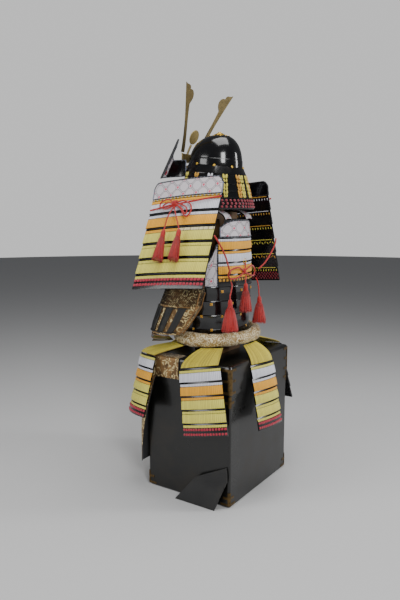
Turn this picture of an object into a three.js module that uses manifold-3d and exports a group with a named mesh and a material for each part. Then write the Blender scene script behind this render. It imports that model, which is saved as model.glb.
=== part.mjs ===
// A full samurai armour set out on the chest that it is stored in. The armour faces -Y, its left arm is
// at +X, and the origin is the middle of the chest's underside. Millimetres, +Z up.
//
// Everything that is sewn, laced or plaited is a thin wall with its real opening: the cuirass, the
// shoulder guards, the skirt panels, the sleeves and the thigh apron. The chest and the plain stand
// inside the armour are smooth solids.
import * as THREE from "three";
import { mergeVertices } from "three/addons/utils/BufferGeometryUtils.js";
import Module from "manifold-3d";

// ---- driving dimensions -----------------------------------------------------------------------

const GAP = 0.4;                       // clearance between pieces that touch
const CLOTH = 2.4;                     // quilted or backed cloth
const LAME = 3;                        // a lacquered lame with its lacing
const FIGURE_Y = -10;                  // the cuirass stands a little forward of the chest's middle

const CHEST = { width: 486, depth: 401, height: 560, lid: 112, wall: 12, round: 9, inset: 3.5 };
const LID_BOTTOM = CHEST.height - CHEST.lid;

const STAND = { post: 36, top: 1392, bar: 30, barTop: 1134, barReach: 122, headRadius: 44, headHeight: 14 };

// Cuirass sections: half width and half depth at each height.
const TORSO = [
  { z: 612, halfWidth: 156, halfDepth: 119 },
  { z: 700, halfWidth: 155, halfDepth: 119 },
  { z: 760, halfWidth: 160, halfDepth: 121 },
  { z: 841, halfWidth: 165, halfDepth: 125 },
  { z: 1034, halfWidth: 160, halfDepth: 120 },
  { z: 1098, halfWidth: 150, halfDepth: 112 },
];
const WAIST = { bottom: 612, top: 841, lames: 4, swell: 2 };
const CHEST_LAMES = { top: 1034, lames: 4, swell: 3, halfAngle: 50 };
const SIDE_PLATE = { halfAngle: 38.5, low: 890, high: 1010 };

const SASH = { z: 632, halfWidth: 185.5, halfDepth: 148.5, tubeHalfWidth: 24.5, tubeHalfHeight: 28 };

// Skirt panels: the middle of the top edge, the way each faces, its lean and its slant, in degrees.
const SKIRT = [
  { name: "left", x: 264, y: 75, z: 547, facing: 3, lean: 8.8, slant: 11.5, length: 259, bow: 12 },
  { name: "back", x: 19, y: 211, z: 533, facing: 89, lean: 11.9, slant: -4.2, length: 253, bow: 12, bottomWidth: 182 },
  { name: "right", x: -264, y: 72, z: 546, facing: 178, lean: 9.4, slant: -7, length: 257, bow: 12 },
  { name: "front_right", x: -214, y: -208, z: 553, facing: -144.4, lean: 14, slant: -6, length: 247, bow: 26 },
  { name: "front", x: 0, y: -222, z: 536, facing: -90, lean: 12, slant: 0, length: 253, bow: 14 },
  { name: "front_left", x: 214, y: -208, z: 553, facing: -35.6, lean: 14, slant: 6, length: 247, bow: 26 },
];
const SKIRT_PANEL = { topWidth: 180, bottomWidth: 190, lames: 5, swell: 3.5 };
const SKIRT_CORDS = { rootHalfWidth: 196, rootHalfDepth: 159, rootZ: 602, spread: 15, restZ: 572 };

// Shoulder guards, each given as if on the left. The right one hangs nearer to upright.
const SODE = { topWidth: 320, bottomWidth: 316, length: 388, bow: 8, lames: 6, swell: 4.5, crown: 68, crownTurn: -10 };
const SODE_PLACES = {
  left: { x: 160, y: -57, z: 1189, facing: 0, lean: 27.2, slant: 4.85 },
  right: { x: 190, y: -38, z: 1189, facing: 0, lean: 9.2, slant: 4.85, length: 370, crown: 56 },
};

const HELMET = { y: -25, halfWidth: 95, halfDepth: 113, top: 1438, rimFront: 1326, rimBack: 1298, wall: 3 };
const NECK_GUARD = { halfAngle: 132, startWidth: 99, startDepth: 117, endWidth: 150, endDepth: 158, bottom: 1145 };
const CREST = { halfWidth: 118, halfDepth: 143, halfAngle: 34, bottom: 1334, top: 1372, disc: 61, discZ: 1437, discY: -129 };
const HORN = { x: 51, y: -146, lean: 19.6, sweep: 6.8 };

// Sleeve sections from the shoulder to the wrist, each given as if on the left. The right arm is
// carried further forward and closer in.
const SLEEVE = [
  { z: 1040, x: 196, y: -12, halfWidth: 33, halfDepth: 60 },
  { z: 1000, x: 207, y: -12, halfWidth: 40, halfDepth: 70 },
  { z: 930, x: 226, y: -12, halfWidth: 50, halfDepth: 78 },
  { z: 870, x: 230, y: -13, halfWidth: 54, halfDepth: 80 },
  { z: 830, x: 232, y: -15, halfWidth: 55, halfDepth: 82 },
  { z: 770, x: 233, y: -37, halfWidth: 53, halfDepth: 88 },
  { z: 700, x: 240, y: -73, halfWidth: 46, halfDepth: 78 },
  { z: 660, x: 243, y: -95, halfWidth: 41, halfDepth: 66 },
];
const RIGHT_ARM = { inward: 32, slimmer: 0.74, forwardAbove: 62, forwardAtWrist: 24 };
const FOREARM_GUARD = { top: 772, bottom: 668, from: -125, to: 54, splints: 5 };

const APRON = { sideEnd: -36, frontEnd: 35, out: 3.4, lidInset: 52, sideHem: 478, frontHem: 100, flare: 24 };

const CORD = 9;                        // plaited silk cord
const TASSEL_HEAD = 8;                 // radius of a tassel's bound head

// ---- small tools ------------------------------------------------------------------------------

const vector = (x, y, z) => new THREE.Vector3(x, y, z);
const radians = THREE.MathUtils.degToRad;
const { lerp, clamp, smoothstep } = THREE.MathUtils;
const range = (count) => Array.from({ length: count }, (_, index) => index);

/** Reads a table of sections at one height, straight between its rows. */
function sectionAt(table, z) {
  const rising = table[0].z < table.at(-1).z;
  const rows = rising ? table : [...table].reverse();
  const height = clamp(z, rows[0].z, rows.at(-1).z);
  const upper = Math.max(1, rows.findIndex((row) => row.z >= height));
  const share = (height - rows[upper - 1].z) / (rows[upper].z - rows[upper - 1].z);
  const section = {};
  for (const key of Object.keys(rows[0])) section[key] = lerp(rows[upper - 1][key], rows[upper][key], share);
  return section;
}

/** A point on a level ellipse. */
function onEllipse(angle, halfWidth, halfDepth, x, y, z) {
  const turn = radians(angle);
  return vector(x + halfWidth * Math.cos(turn), y + halfDepth * Math.sin(turn), z);
}

/** Makes a geometry of shared points and triangles, turned the right way out. */
function closedGeometry(points, triangles) {
  const corner = new THREE.Vector3();
  const volume = triangles.reduce(
    (sum, [a, b, c]) => sum + points[a].dot(corner.crossVectors(points[b], points[c])), 0);
  const index = triangles.flatMap(([a, b, c]) => (volume < 0 ? [a, c, b] : [a, b, c]));
  const geometry = new THREE.BufferGeometry().setFromPoints(points);
  geometry.setIndex(index);
  geometry.computeVertexNormals();
  return geometry;
}

/** Two triangles across four points. */
const quad = (a, b, c, d) => [[a, b, c], [a, c, d]];

/**
 * A wall over a surface. `face(s, t)` is its middle, with s across and t down, 0 to 1. Rows and
 * columns say where it is cut, each with an outward swell of the outer side alone.
 */
function wall(face, { rows, columns, thickness, ring = false }) {
  const step = 1e-3;
  const points = [];
  const outer = [];
  const inner = [];
  for (const { t, out: rowOut = 0 } of rows) {
    const outerRow = [];
    const innerRow = [];
    for (const { s, out: columnOut = 0 } of columns) {
      const across = face(s + step, t).sub(face(s - step, t));
      const down = face(s, t + step).sub(face(s, t - step));
      const normal = down.cross(across).normalize();
      const middle = face(s, t);
      outerRow.push(points.push(middle.clone().addScaledVector(normal, thickness / 2 + rowOut + columnOut)) - 1);
      innerRow.push(points.push(middle.addScaledVector(normal, -thickness / 2)) - 1);
    }
    outer.push(outerRow);
    inner.push(innerRow);
  }
  const triangles = [];
  const last = columns.length - 1;
  const spans = ring ? columns.length : last;
  for (const i of range(spans)) {
    const next = (i + 1) % columns.length;
    for (const j of range(rows.length - 1)) {
      triangles.push(...quad(outer[j][i], outer[j + 1][i], outer[j + 1][next], outer[j][next]));
      triangles.push(...quad(inner[j][i], inner[j][next], inner[j + 1][next], inner[j + 1][i]));
    }
    triangles.push(...quad(outer[0][i], outer[0][next], inner[0][next], inner[0][i]));
    const foot = rows.length - 1;
    triangles.push(...quad(outer[foot][i], inner[foot][i], inner[foot][next], outer[foot][next]));
  }
  if (!ring) {
    for (const j of range(rows.length - 1)) {
      triangles.push(...quad(outer[j][0], inner[j][0], inner[j + 1][0], outer[j + 1][0]));
      triangles.push(...quad(outer[j][last], outer[j + 1][last], inner[j + 1][last], inner[j][last]));
    }
  }
  return closedGeometry(points, triangles);
}

/** A closed body through rings of equal count, with a flat fan over its first and last ring. */
function loft(rings) {
  const points = rings.flat();
  const count = rings[0].length;
  const triangles = [];
  for (const j of range(rings.length - 1)) {
    for (const i of range(count)) {
      const next = (i + 1) % count;
      triangles.push(...quad(j * count + i, j * count + next, (j + 1) * count + next, (j + 1) * count + i));
    }
  }
  for (const [ring, start, turned] of [[rings[0], 0, true], [rings.at(-1), (rings.length - 1) * count, false]]) {
    const middle = ring.reduce((sum, point) => sum.add(point), vector(0, 0, 0)).divideScalar(count);
    const centre = points.push(middle) - 1;
    for (const i of range(count)) {
      const next = start + ((i + 1) % count);
      triangles.push(turned ? [centre, next, start + i] : [centre, start + i, next]);
    }
  }
  return closedGeometry(points, triangles);
}

/** A level rounded rectangle as a ring of points. */
function rectangleRing(width, depth, radius, z) {
  const perCorner = 4;
  return range(4 * perCorner).map((i) => {
    const corner = Math.floor(i / perCorner);
    const turn = radians(90 * corner + (90 * (i % perCorner)) / (perCorner - 1));
    const signX = corner === 0 || corner === 3 ? 1 : -1;
    const signY = corner < 2 ? 1 : -1;
    return vector(
      signX * (width / 2 - radius) + radius * Math.cos(turn),
      signY * (depth / 2 - radius) + radius * Math.sin(turn), z);
  });
}

/** A ring of points round an axis. */
function circleRing(centre, axis, radius, sides) {
  const turn = new THREE.Quaternion().setFromUnitVectors(vector(0, 0, 1), axis.clone().normalize());
  return range(sides).map((i) => {
    const angle = (2 * Math.PI * i) / sides;
    return vector(radius * Math.cos(angle), radius * Math.sin(angle), 0).applyQuaternion(turn).add(centre);
  });
}

const evenly = (spans, from = 0, to = 1) => range(spans + 1).map((i) => lerp(from, to, i / spans));
const columnsOf = (spans) => evenly(spans).map((s) => ({ s }));
const rowsOf = (spans) => evenly(spans).map((t) => ({ t }));
const ringColumns = (count) => range(count).map((i) => ({ s: i / count }));

/** Rows for a stack of lames, each hanging a little proud of the next one's upper edge. */
function lameRows(count, swell) {
  const shelf = 0.05 / count;
  return range(count).flatMap((lame) => {
    const top = lame / count;
    const bottom = (lame + 1) / count;
    return [
      { t: lame === 0 ? 0 : top + shelf, out: 0 },
      { t: bottom, out: swell },
    ];
  });
}

/** A plaited cord along a hand-laid route. */
function cordAlong(route, diameter, steps) {
  const section = new THREE.Shape();
  section.absarc(0, 0, diameter / 2, 0, 2 * Math.PI);
  const extrudePath = new THREE.CatmullRomCurve3(route.map(([x, y, z]) => vector(x, y, z)));
  return new THREE.ExtrudeGeometry(section, { steps, extrudePath, curveSegments: 4, bevelEnabled: false });
}

/** The plain reach of a tassel: a bound head that spreads into its fringe. */
function tasselBody(top, axis, length, spread) {
  const profile = [
    { at: 0, radius: 0.6 * TASSEL_HEAD },
    { at: 0.05, radius: TASSEL_HEAD },
    { at: 0.2, radius: 1.3 * TASSEL_HEAD },
    { at: 0.28, radius: TASSEL_HEAD },
    { at: 0.5, radius: 0.75 * spread },
    { at: 1, radius: spread },
  ];
  const along = axis.clone().normalize();
  return loft(profile.map(({ at, radius }) =>
    circleRing(top.clone().addScaledVector(along, at * length), along, radius, 8)));
}

const wasm = await Module();
wasm.setup();

/** A geometry as a solid that can be joined. */
function solidOf(geometry) {
  const bare = geometry.clone();
  bare.deleteAttribute("normal");
  bare.deleteAttribute("uv");
  const merged = mergeVertices(bare, 1e-3);
  return new wasm.Manifold(new wasm.Mesh({
    numProp: 3,
    vertProperties: merged.attributes.position.array,
    triVerts: new Uint32Array(merged.index.array),
  }));
}

/** One body made of several that overlap. */
function joined(...geometries) {
  const mesh = geometries.map(solidOf).reduce((whole, next) => whole.add(next)).getMesh();
  const geometry = new THREE.BufferGeometry();
  geometry.setAttribute("position", new THREE.BufferAttribute(new Float32Array(mesh.vertProperties), 3));
  geometry.setIndex(new THREE.BufferAttribute(new Uint32Array(mesh.triVerts), 1));
  geometry.computeVertexNormals();
  return geometry;
}

/** The same body on the other side of the figure. */
function mirrored(geometry) {
  const copy = geometry.clone();
  copy.scale(-1, 1, 1);
  const triangles = copy.index ? copy.index.array : range(copy.attributes.position.count);
  const turned = [];
  for (let i = 0; i < triangles.length; i += 3) turned.push(triangles[i], triangles[i + 2], triangles[i + 1]);
  copy.setIndex(turned);
  copy.computeVertexNormals();
  return copy;
}

// ---- materials --------------------------------------------------------------------------------

const finish = (color, roughness, metalness = 0) => new THREE.MeshStandardMaterial({ color, roughness, metalness });

const BLACK_LACQUER = finish(0x0b0b0d, 0.18);
const CHEST_LACQUER = finish(0x15160f, 0.25);
const LACED_SILK = finish(0xe0d7a0, 0.75);
const YELLOW_CORD = finish(0xe3da5e, 0.75);
const RED_CORD = finish(0xc41208, 0.7);
const GOLD_BROCADE = finish(0xa88a55, 0.6);
const BROWN_BROCADE = finish(0x6b4a22, 0.7);
const PRINTED_LEATHER = finish(0xc9c4c8, 0.6);
const OLD_BRONZE = finish(0x7d6b34, 0.4, 0.9);
const STAND_WOOD = finish(0x8a6a45, 0.6);

const armour = new THREE.Group();

/** Adds one named piece to the armour. */
function add(name, geometry, material, parent = armour) {
  const mesh = new THREE.Mesh(geometry, material);
  mesh.name = name;
  parent.add(mesh);
  return mesh;
}

/** Adds a piece and its twin on the other side. */
function addPair(name, geometry, material) {
  add(`${name}_left`, geometry, material);
  add(`${name}_right`, mirrored(geometry), material);
}

// ---- chest ------------------------------------------------------------------------------------

function chestBody() {
  const { width, depth, wall: side, round, inset } = CHEST;
  const rim = LID_BOTTOM - GAP;
  const ring = (shrink, z, radius = round) => rectangleRing(width - 2 * shrink, depth - 2 * shrink, radius, z);
  return loft([
    ring(inset + 5, 0), ring(inset, 6), ring(inset, rim),
    ring(inset + side, rim, 4), ring(inset + side, side, 4),
  ]);
}

function chestLid() {
  const { width, depth, height, wall: side, round } = CHEST;
  const ring = (shrink, z, radius = round) => rectangleRing(width - 2 * shrink, depth - 2 * shrink, radius, z);
  return loft([
    ring(side, height - side, 4), ring(side, LID_BOTTOM, 4), ring(0, LID_BOTTOM), ring(0, height - round),
    ring(0.3 * round, height - 0.3 * round), ring(round, height, 3),
  ]);
}

/** A flat black board that leans on the foot of the chest's left side. */
function footBoard() {
  const outline = new THREE.Shape();
  outline.moveTo(-28, 0);
  for (const [along, up] of [[156, 0], [196, 119], [187, 170], [54, 106]]) outline.lineTo(along, up);
  outline.closePath();
  const board = new THREE.ExtrudeGeometry(outline, { depth: 4, bevelEnabled: false });
  const lean = radians(14);
  const basis = new THREE.Matrix4().makeBasis(
    vector(0, 1, 0), vector(-Math.sin(lean), 0, Math.cos(lean)), vector(Math.cos(lean), 0, Math.sin(lean)));
  board.applyMatrix4(basis);
  board.translate(283, 0, 0);
  board.computeBoundingBox();
  board.translate(0, 0, -board.boundingBox.min.z);
  return board;
}

// ---- stand ------------------------------------------------------------------------------------

/** The post, the bar under the shoulder straps and the rest inside the helmet, as one wooden frame. */
function standFrame() {
  const { post, top, bar, barTop, barReach, headRadius, headHeight } = STAND;
  const foot = CHEST.height + GAP;
  const upright = new THREE.BoxGeometry(post, post, top - foot).translate(0, FIGURE_Y, (top + foot) / 2);
  const crossbar = new THREE.BoxGeometry(2 * barReach, post, bar).translate(0, FIGURE_Y, barTop - bar / 2);
  const base = new THREE.BoxGeometry(150, 130, 18).translate(0, FIGURE_Y, foot + 9);
  const headTop = vector(0, FIGURE_Y, top);
  const up = vector(0, 0, 1);
  const head = loft([
    circleRing(headTop.clone().setZ(top - headHeight), up, headRadius, 24),
    circleRing(headTop.clone().setZ(top - 3), up, headRadius, 24),
    circleRing(headTop, up, headRadius - 4, 24),
  ]);
  return joined(upright, crossbar, base, head);
}

// ---- cuirass ----------------------------------------------------------------------------------

/** A point on the cuirass, `out` outside its middle surface. */
function onTorso(angle, z, out = 0) {
  const { halfWidth, halfDepth } = sectionAt(TORSO, z);
  return onEllipse(angle, halfWidth + out, halfDepth + out, 0, FIGURE_Y, z);
}

/** The four black lames round the waist, each one's upper edge standing proud of the one above. */
function waistShell() {
  const { bottom, top, lames, swell } = WAIST;
  const shelf = 0.04 / lames;
  const rows = range(lames).flatMap((lame) => [
    { t: lame / lames + (lame === 0 ? 0 : shelf), out: lame === 0 ? 0 : swell },
    { t: (lame + 1) / lames, out: 0 },
  ]);
  return wall((s, t) => onTorso(360 * s, lerp(top, bottom, t)), { rows, columns: ringColumns(32), thickness: LAME, ring: true });
}

/** Laced lames over the back or the breast. */
function chestLames(middle) {
  const { top, lames, swell, halfAngle } = CHEST_LAMES;
  const bottom = WAIST.top + GAP;
  const face = (s, t) => onTorso(lerp(middle - halfAngle, middle + halfAngle, s), lerp(top, bottom, t));
  return wall(face, { rows: lameRows(lames, swell), columns: columnsOf(12), thickness: LAME });
}

/** The leather-faced board over the lames, with its upper corners rounded. */
function topBoard(middle, height, halfAngle) {
  const bottom = CHEST_LAMES.top + GAP;
  const face = (s, t) => {
    const side = 2 * s - 1;
    const top = bottom + height * (1 - 0.45 * Math.abs(side) ** 4);
    return onTorso(middle + halfAngle * side, lerp(top, bottom, t), 1);
  };
  return wall(face, { rows: rowsOf(3), columns: columnsOf(10), thickness: 5 });
}

/** The leather-faced plate under the arm, low in the middle and high at both ends. */
function sidePlate() {
  const { halfAngle, low, high } = SIDE_PLATE;
  const bottom = WAIST.top + GAP;
  const face = (s, t) => {
    const side = 2 * s - 1;
    return onTorso(halfAngle * side, lerp(lerp(low, high, side * side), bottom, t));
  };
  return wall(face, { rows: rowsOf(3), columns: columnsOf(10), thickness: LAME });
}

/** A padded shoulder strap from the back board over the bar to the breast board. */
function shoulderStrap() {
  const route = new THREE.CatmullRomCurve3([
    [88, 1104], [76, 1123], [44, 1136], [FIGURE_Y, 1140.5], [-62, 1134], [-94, 1112], [-107, 1084],
  ].map(([y, z]) => vector(82, y, z)));
  const face = (s, t) => route.getPoint(clamp(t, 0, 1)).add(vector(45 * (s - 0.5), 0, 0));
  return wall(face, { rows: evenly(12, 0.002, 0.998).map((t) => ({ t })), columns: columnsOf(2), thickness: 6 });
}

/** The padded brocade roll tied round the waist. */
function waistSash() {
  const { z, halfWidth, halfDepth, tubeHalfWidth, tubeHalfHeight } = SASH;
  const around = 32;
  const sides = 8;
  const points = [];
  for (const i of range(around)) {
    const angle = (360 * i) / around;
    for (const j of range(sides)) {
      const roll = (2 * Math.PI * j) / sides;
      const out = tubeHalfWidth * Math.cos(roll);
      points.push(onEllipse(angle, halfWidth + out, halfDepth + out, 0, FIGURE_Y, z + tubeHalfHeight * Math.sin(roll)));
    }
  }
  const triangles = [];
  for (const i of range(around)) {
    for (const j of range(sides)) {
      const here = i * sides;
      const next = ((i + 1) % around) * sides;
      const up = (j + 1) % sides;
      triangles.push(...quad(here + j, next + j, next + up, here + up));
    }
  }
  return closedGeometry(points, triangles);
}

// ---- hanging panels ---------------------------------------------------------------------------

/** The surface of a panel that hangs facing one way: s across, t down, `lift` off its face. */
function hangingFace({ x, y, z, facing, lean, slant, topWidth, bottomWidth, length, bow }) {
  const turn = radians(facing);
  const out = vector(Math.cos(turn), Math.sin(turn), 0);
  const side = vector(-Math.sin(turn), Math.cos(turn), 0);
  const fall = vector(0, 0, -Math.cos(radians(lean))).addScaledVector(out, Math.sin(radians(lean)));
  const tilt = radians(slant);
  const across = side.clone().multiplyScalar(Math.cos(tilt)).addScaledVector(fall, -Math.sin(tilt));
  const along = fall.clone().multiplyScalar(Math.cos(tilt)).addScaledVector(side, Math.sin(tilt));
  const normal = along.clone().cross(across);
  return (s, t, lift = 0) => {
    const u = 2 * s - 1;
    return vector(x, y, z)
      .addScaledVector(across, (u * lerp(topWidth, bottomWidth, t)) / 2)
      .addScaledVector(along, t * length)
      .addScaledVector(normal, bow * (1 - u * u) + lift);
  };
}

function skirtPanel(panel) {
  const face = hangingFace({ ...SKIRT_PANEL, ...panel });
  return wall(face, { rows: lameRows(SKIRT_PANEL.lames, SKIRT_PANEL.swell), columns: columnsOf(6), thickness: LAME });
}

/** The fan of cords from under the sash, over the lid's edge, to the head of one skirt panel. */
function skirtCords(panel, index) {
  const { rootHalfWidth, rootHalfDepth, rootZ, spread, restZ } = SKIRT_CORDS;
  const panelFace = hangingFace({ ...SKIRT_PANEL, ...panel });
  const middle = 30 + 60 * index;
  const face = (s, t) => {
    const angle = middle + spread * (2 * s - 1);
    const root = onEllipse(angle, rootHalfWidth, rootHalfDepth, 0, FIGURE_Y, rootZ);
    const head = panelFace(lerp(0.04, 0.96, s), -0.012);
    const rest = head.clone().lerp(root, 0.06).setZ(restZ);
    return new THREE.QuadraticBezierCurve3(root, rest, head).getPoint(t);
  };
  return wall(face, { rows: rowsOf(7), columns: columnsOf(5), thickness: 3 });
}

function sodePanel(face) {
  return wall(face, { rows: lameRows(SODE.lames, SODE.swell), columns: columnsOf(8), thickness: LAME });
}

/** The leather-faced plate at the head of a shoulder guard, turned in over the shoulder. */
function sodeCrown(panelFace, { crown, crownTurn, length }) {
  const face = (s, t) => {
    const rise = 1 - t;
    const corner = Math.max(0, Math.abs(2 * s - 1) - 0.86) / 0.14;
    const height = rise * (1 - 0.35 * corner * corner);
    return panelFace(s, -(0.006 + (crown * height) / length), -crownTurn * height * height);
  };
  const columns = [0, 0.03, 0.07, 0.2, 0.4, 0.6, 0.8, 0.93, 0.97, 1].map((s) => ({ s }));
  return wall(face, { rows: rowsOf(4), columns, thickness: 4 });
}

// ---- helmet -----------------------------------------------------------------------------------

/** The height of the helmet's rim, high over the brow and low at the nape. */
function rimHeight(angle) {
  const { rimFront, rimBack } = HELMET;
  return lerp(rimBack, rimFront, 0.5 - 0.5 * Math.sin(radians(angle)));
}

function bowl() {
  const { halfWidth, halfDepth, top, y, wall: metal } = HELMET;
  const around = 28;
  const ring = (fall, shrink) => range(around).map((i) => {
    const angle = (360 * i) / around;
    const rim = rimHeight(angle);
    const out = Math.sin(radians(90 * fall)) ** 0.82;
    const rise = Math.cos(radians(90 * fall)) ** 0.88 * (top - shrink - rim);
    const centreY = lerp(FIGURE_Y + 6, y, fall);
    return onEllipse(angle, (halfWidth - shrink) * out, (halfDepth - shrink) * out, 0, centreY, rim + rise);
  });
  const falls = [0.05, 0.2, 0.38, 0.56, 0.75, 0.9, 1];
  const outside = falls.map((fall) => ring(fall, 0));
  const inside = [1, 0.75, 0.5, 0.2].map((fall) => ring(fall, metal));
  return loft([...outside, ...inside]);
}

/** The peak over the brow. */
function peak() {
  const face = (s, t) => {
    const angle = lerp(-146, -34, s);
    const reach = Math.sin(Math.PI * clamp(s, 0, 1)) ** 0.7;
    return onEllipse(
      angle, HELMET.halfWidth - 3 + 14 * t * reach, HELMET.halfDepth - 3 + 34 * t * reach, 0, HELMET.y,
      rimHeight(angle) - 2.4 - 15 * t * t * reach);
  };
  return wall(face, { rows: rowsOf(3), columns: evenly(14, 0.03, 0.97).map((s) => ({ s })), thickness: 2.6 });
}

/** Five flared lames round the neck, open over the face. */
function neckGuard() {
  const { halfAngle, startWidth, startDepth, endWidth, endDepth, bottom } = NECK_GUARD;
  const face = (s, t) => {
    const angle = lerp(90 - halfAngle, 90 + halfAngle, s);
    const flare = t ** 0.9;
    return onEllipse(
      angle, lerp(startWidth, endWidth, flare), lerp(startDepth, endDepth, flare), 0, HELMET.y,
      lerp(rimHeight(angle) + 5, bottom, t));
  };
  const lames = [0.2, 0.42, 0.59, 0.76, 1];
  const rows = lames.flatMap((end, lame) => [
    { t: lame === 0 ? 0.002 : lames[lame - 1] + 0.012, out: 0 },
    { t: end, out: 3.5 },
  ]);
  return wall(face, { rows, columns: columnsOf(22), thickness: LAME });
}

/** The turned-back wing at the front end of the first neck lame. */
function neckWing() {
  const plan = new THREE.CatmullRomCurve3([
    vector(82, -113, 0), vector(93, -150, 0), vector(107, -170, 0), vector(129, -159, 0), vector(157, -127, 0),
  ], false, "catmullrom", 0.4);
  const face = (s, t) => {
    const share = clamp(s, 0, 1);
    const spot = plan.getPoint(share);
    const top = lerp(1338, 1414, smoothstep(share, 0.3, 0.72)) - 30 * smoothstep(share, 0.86, 1.0);
    const bottom = lerp(1276, 1266, share) + 16 * smoothstep(share, 0.86, 1.0);
    const z = lerp(top, bottom, t);
    return vector(spot.x, spot.y + 0.6 * (z - 1348) * smoothstep(share, 0.05, 0.4), z);
  };
  return wall(face, { rows: rowsOf(4), columns: evenly(11, 0.002, 0.998).map((s) => ({ s })), thickness: 3 });
}

/** The gilt bracket across the brow that holds the horns and the crest disc. */
function crestStand() {
  const { halfWidth, halfDepth, halfAngle, bottom, top } = CREST;
  const face = (s, t) => {
    const side = 2 * s - 1;
    const low = bottom + 14 * side * side;
    return onEllipse(-90 + halfAngle * side, halfWidth, halfDepth, 0, HELMET.y, lerp(top, low, t));
  };
  const band = wall(face, { rows: rowsOf(2), columns: columnsOf(12), thickness: 3 });
  const stem = new THREE.BoxGeometry(12, 3, 50).rotateX(radians(-28)).translate(0, -156, 1383);
  return joined(band, stem);
}

function crestDisc() {
  const { disc, discZ, discY } = CREST;
  const axis = vector(0, -1, 0.42).normalize();
  const middle = vector(0, discY, discZ);
  return loft([[-2, 0.94], [0, 1], [2, 0.9]].map(([along, scale]) =>
    circleRing(middle.clone().addScaledVector(axis, along), axis, (scale * disc) / 2, 24)));
}

/** One flat horn: a shaft that widens upward, two scallops on its inner edge and a point. */
function hornOutline() {
  const shape = new THREE.Shape();
  shape.moveTo(-6, 0);
  shape.lineTo(20, 0);
  shape.bezierCurveTo(31, 44, 44, 82, 61, 120);
  shape.bezierCurveTo(79, 160, 103, 204, 133, 259);
  shape.bezierCurveTo(120, 254, 108, 256, 98, 254);
  shape.quadraticCurveTo(88, 250, 87, 240);
  shape.quadraticCurveTo(69, 244, 58, 233);
  shape.quadraticCurveTo(48, 223, 52, 207);
  shape.quadraticCurveTo(57, 196, 64, 188);
  shape.bezierCurveTo(57, 162, 42, 126, 30, 98);
  shape.bezierCurveTo(17, 68, 2, 30, -6, 0);
  return shape;
}

function addHorns() {
  for (const [name, side] of [["horn_left", 1], ["horn_right", -1]]) {
    const geometry = new THREE.ExtrudeGeometry(hornOutline(), { depth: 3, bevelEnabled: false, curveSegments: 5 });
    const sweep = new THREE.Group();
    sweep.position.set(side * HORN.x, HORN.y, CREST.top + GAP + 1.4);
    sweep.rotation.z = radians(side * HORN.sweep);
    armour.add(sweep);
    const horn = add(name, side > 0 ? geometry : mirrored(geometry), OLD_BRONZE, sweep);
    horn.rotation.x = radians(90 - HORN.lean);
  }
}

// ---- arms -------------------------------------------------------------------------------------

const rightSleeve = SLEEVE.map((section) => ({
  ...section,
  x: section.x - RIGHT_ARM.inward,
  halfWidth: section.halfWidth * RIGHT_ARM.slimmer,
  y: section.y - lerp(RIGHT_ARM.forwardAtWrist, RIGHT_ARM.forwardAbove, smoothstep(section.z, 660, 770)),
}));

/** A point on a sleeve, `out` outside its middle surface. */
function onSleeve(table, angle, z, out = 0) {
  const { x, y, halfWidth, halfDepth } = sectionAt(table, z);
  return onEllipse(angle, halfWidth + out, halfDepth + out, x, y, z);
}

function sleeve(table) {
  const [top, bottom] = [table[0].z, table.at(-1).z];
  const face = (s, t) => onSleeve(table, 360 * s, lerp(top, bottom, t));
  const rows = table.map(({ z }) => ({ t: (top - z) / (top - bottom) }));
  return wall(face, { rows, columns: ringColumns(16), thickness: CLOTH, ring: true });
}

/** The row of long splints over the outside of the forearm. */
function forearmGuard(table) {
  const { top, bottom, from, to, splints } = FOREARM_GUARD;
  const face = (s, t) => onSleeve(table, lerp(from, to, s), lerp(top, bottom, t), 4.3);
  const columns = range(splints).flatMap((splint) => [
    { s: (splint + 0.02) / splints, out: 0 },
    { s: (splint + 0.5) / splints, out: 2.5 },
    { s: (splint + 0.98) / splints, out: 0 },
  ]);
  return wall(face, { rows: rowsOf(4), columns, thickness: 2.6 });
}

/** The black plate over the back of the hand, bent in from the wrist towards the lid. */
function handGuard(table) {
  const frontCorner = vector(182, -218, 602);
  const rearCorner = vector(132, -146, 606);
  const wristZ = table.at(-1).z;
  const face = (s, t) => {
    const wrist = onSleeve(table, lerp(-115, 32, s), wristZ, -2).setZ(wristZ - 4);
    const fingers = frontCorner.clone().lerp(rearCorner, s);
    const bulge = 26 * Math.sin(Math.PI * clamp(t, 0, 1)) * Math.sin(Math.PI * clamp(s, 0, 1));
    return wrist.lerp(fingers, t).add(vector(0.8 * bulge, -0.2 * bulge, 0));
  };
  return wall(face, { rows: rowsOf(5), columns: columnsOf(6), thickness: 3 });
}

// ---- thigh apron ------------------------------------------------------------------------------

/** A point beside the lid's front left corner: `run` along its rim from the side, `out` off its face. */
function besideLid(run, out, z) {
  const [halfWidth, halfDepth] = [CHEST.width / 2, CHEST.depth / 2];
  const radius = Math.max(1.5, CHEST.round + out);
  const centre = vector(halfWidth + out - radius, -(halfDepth + out - radius), z);
  const straight = APRON.sideEnd - centre.y;
  const arc = (Math.PI / 2) * radius;
  if (run < straight) return vector(centre.x + radius, APRON.sideEnd - run, z);
  if (run < straight + arc) {
    const turn = (run - straight) / radius;
    return vector(centre.x + radius * Math.cos(turn), centre.y - radius * Math.sin(turn), z);
  }
  return vector(centre.x - (run - straight - arc), centre.y - radius, z);
}

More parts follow.
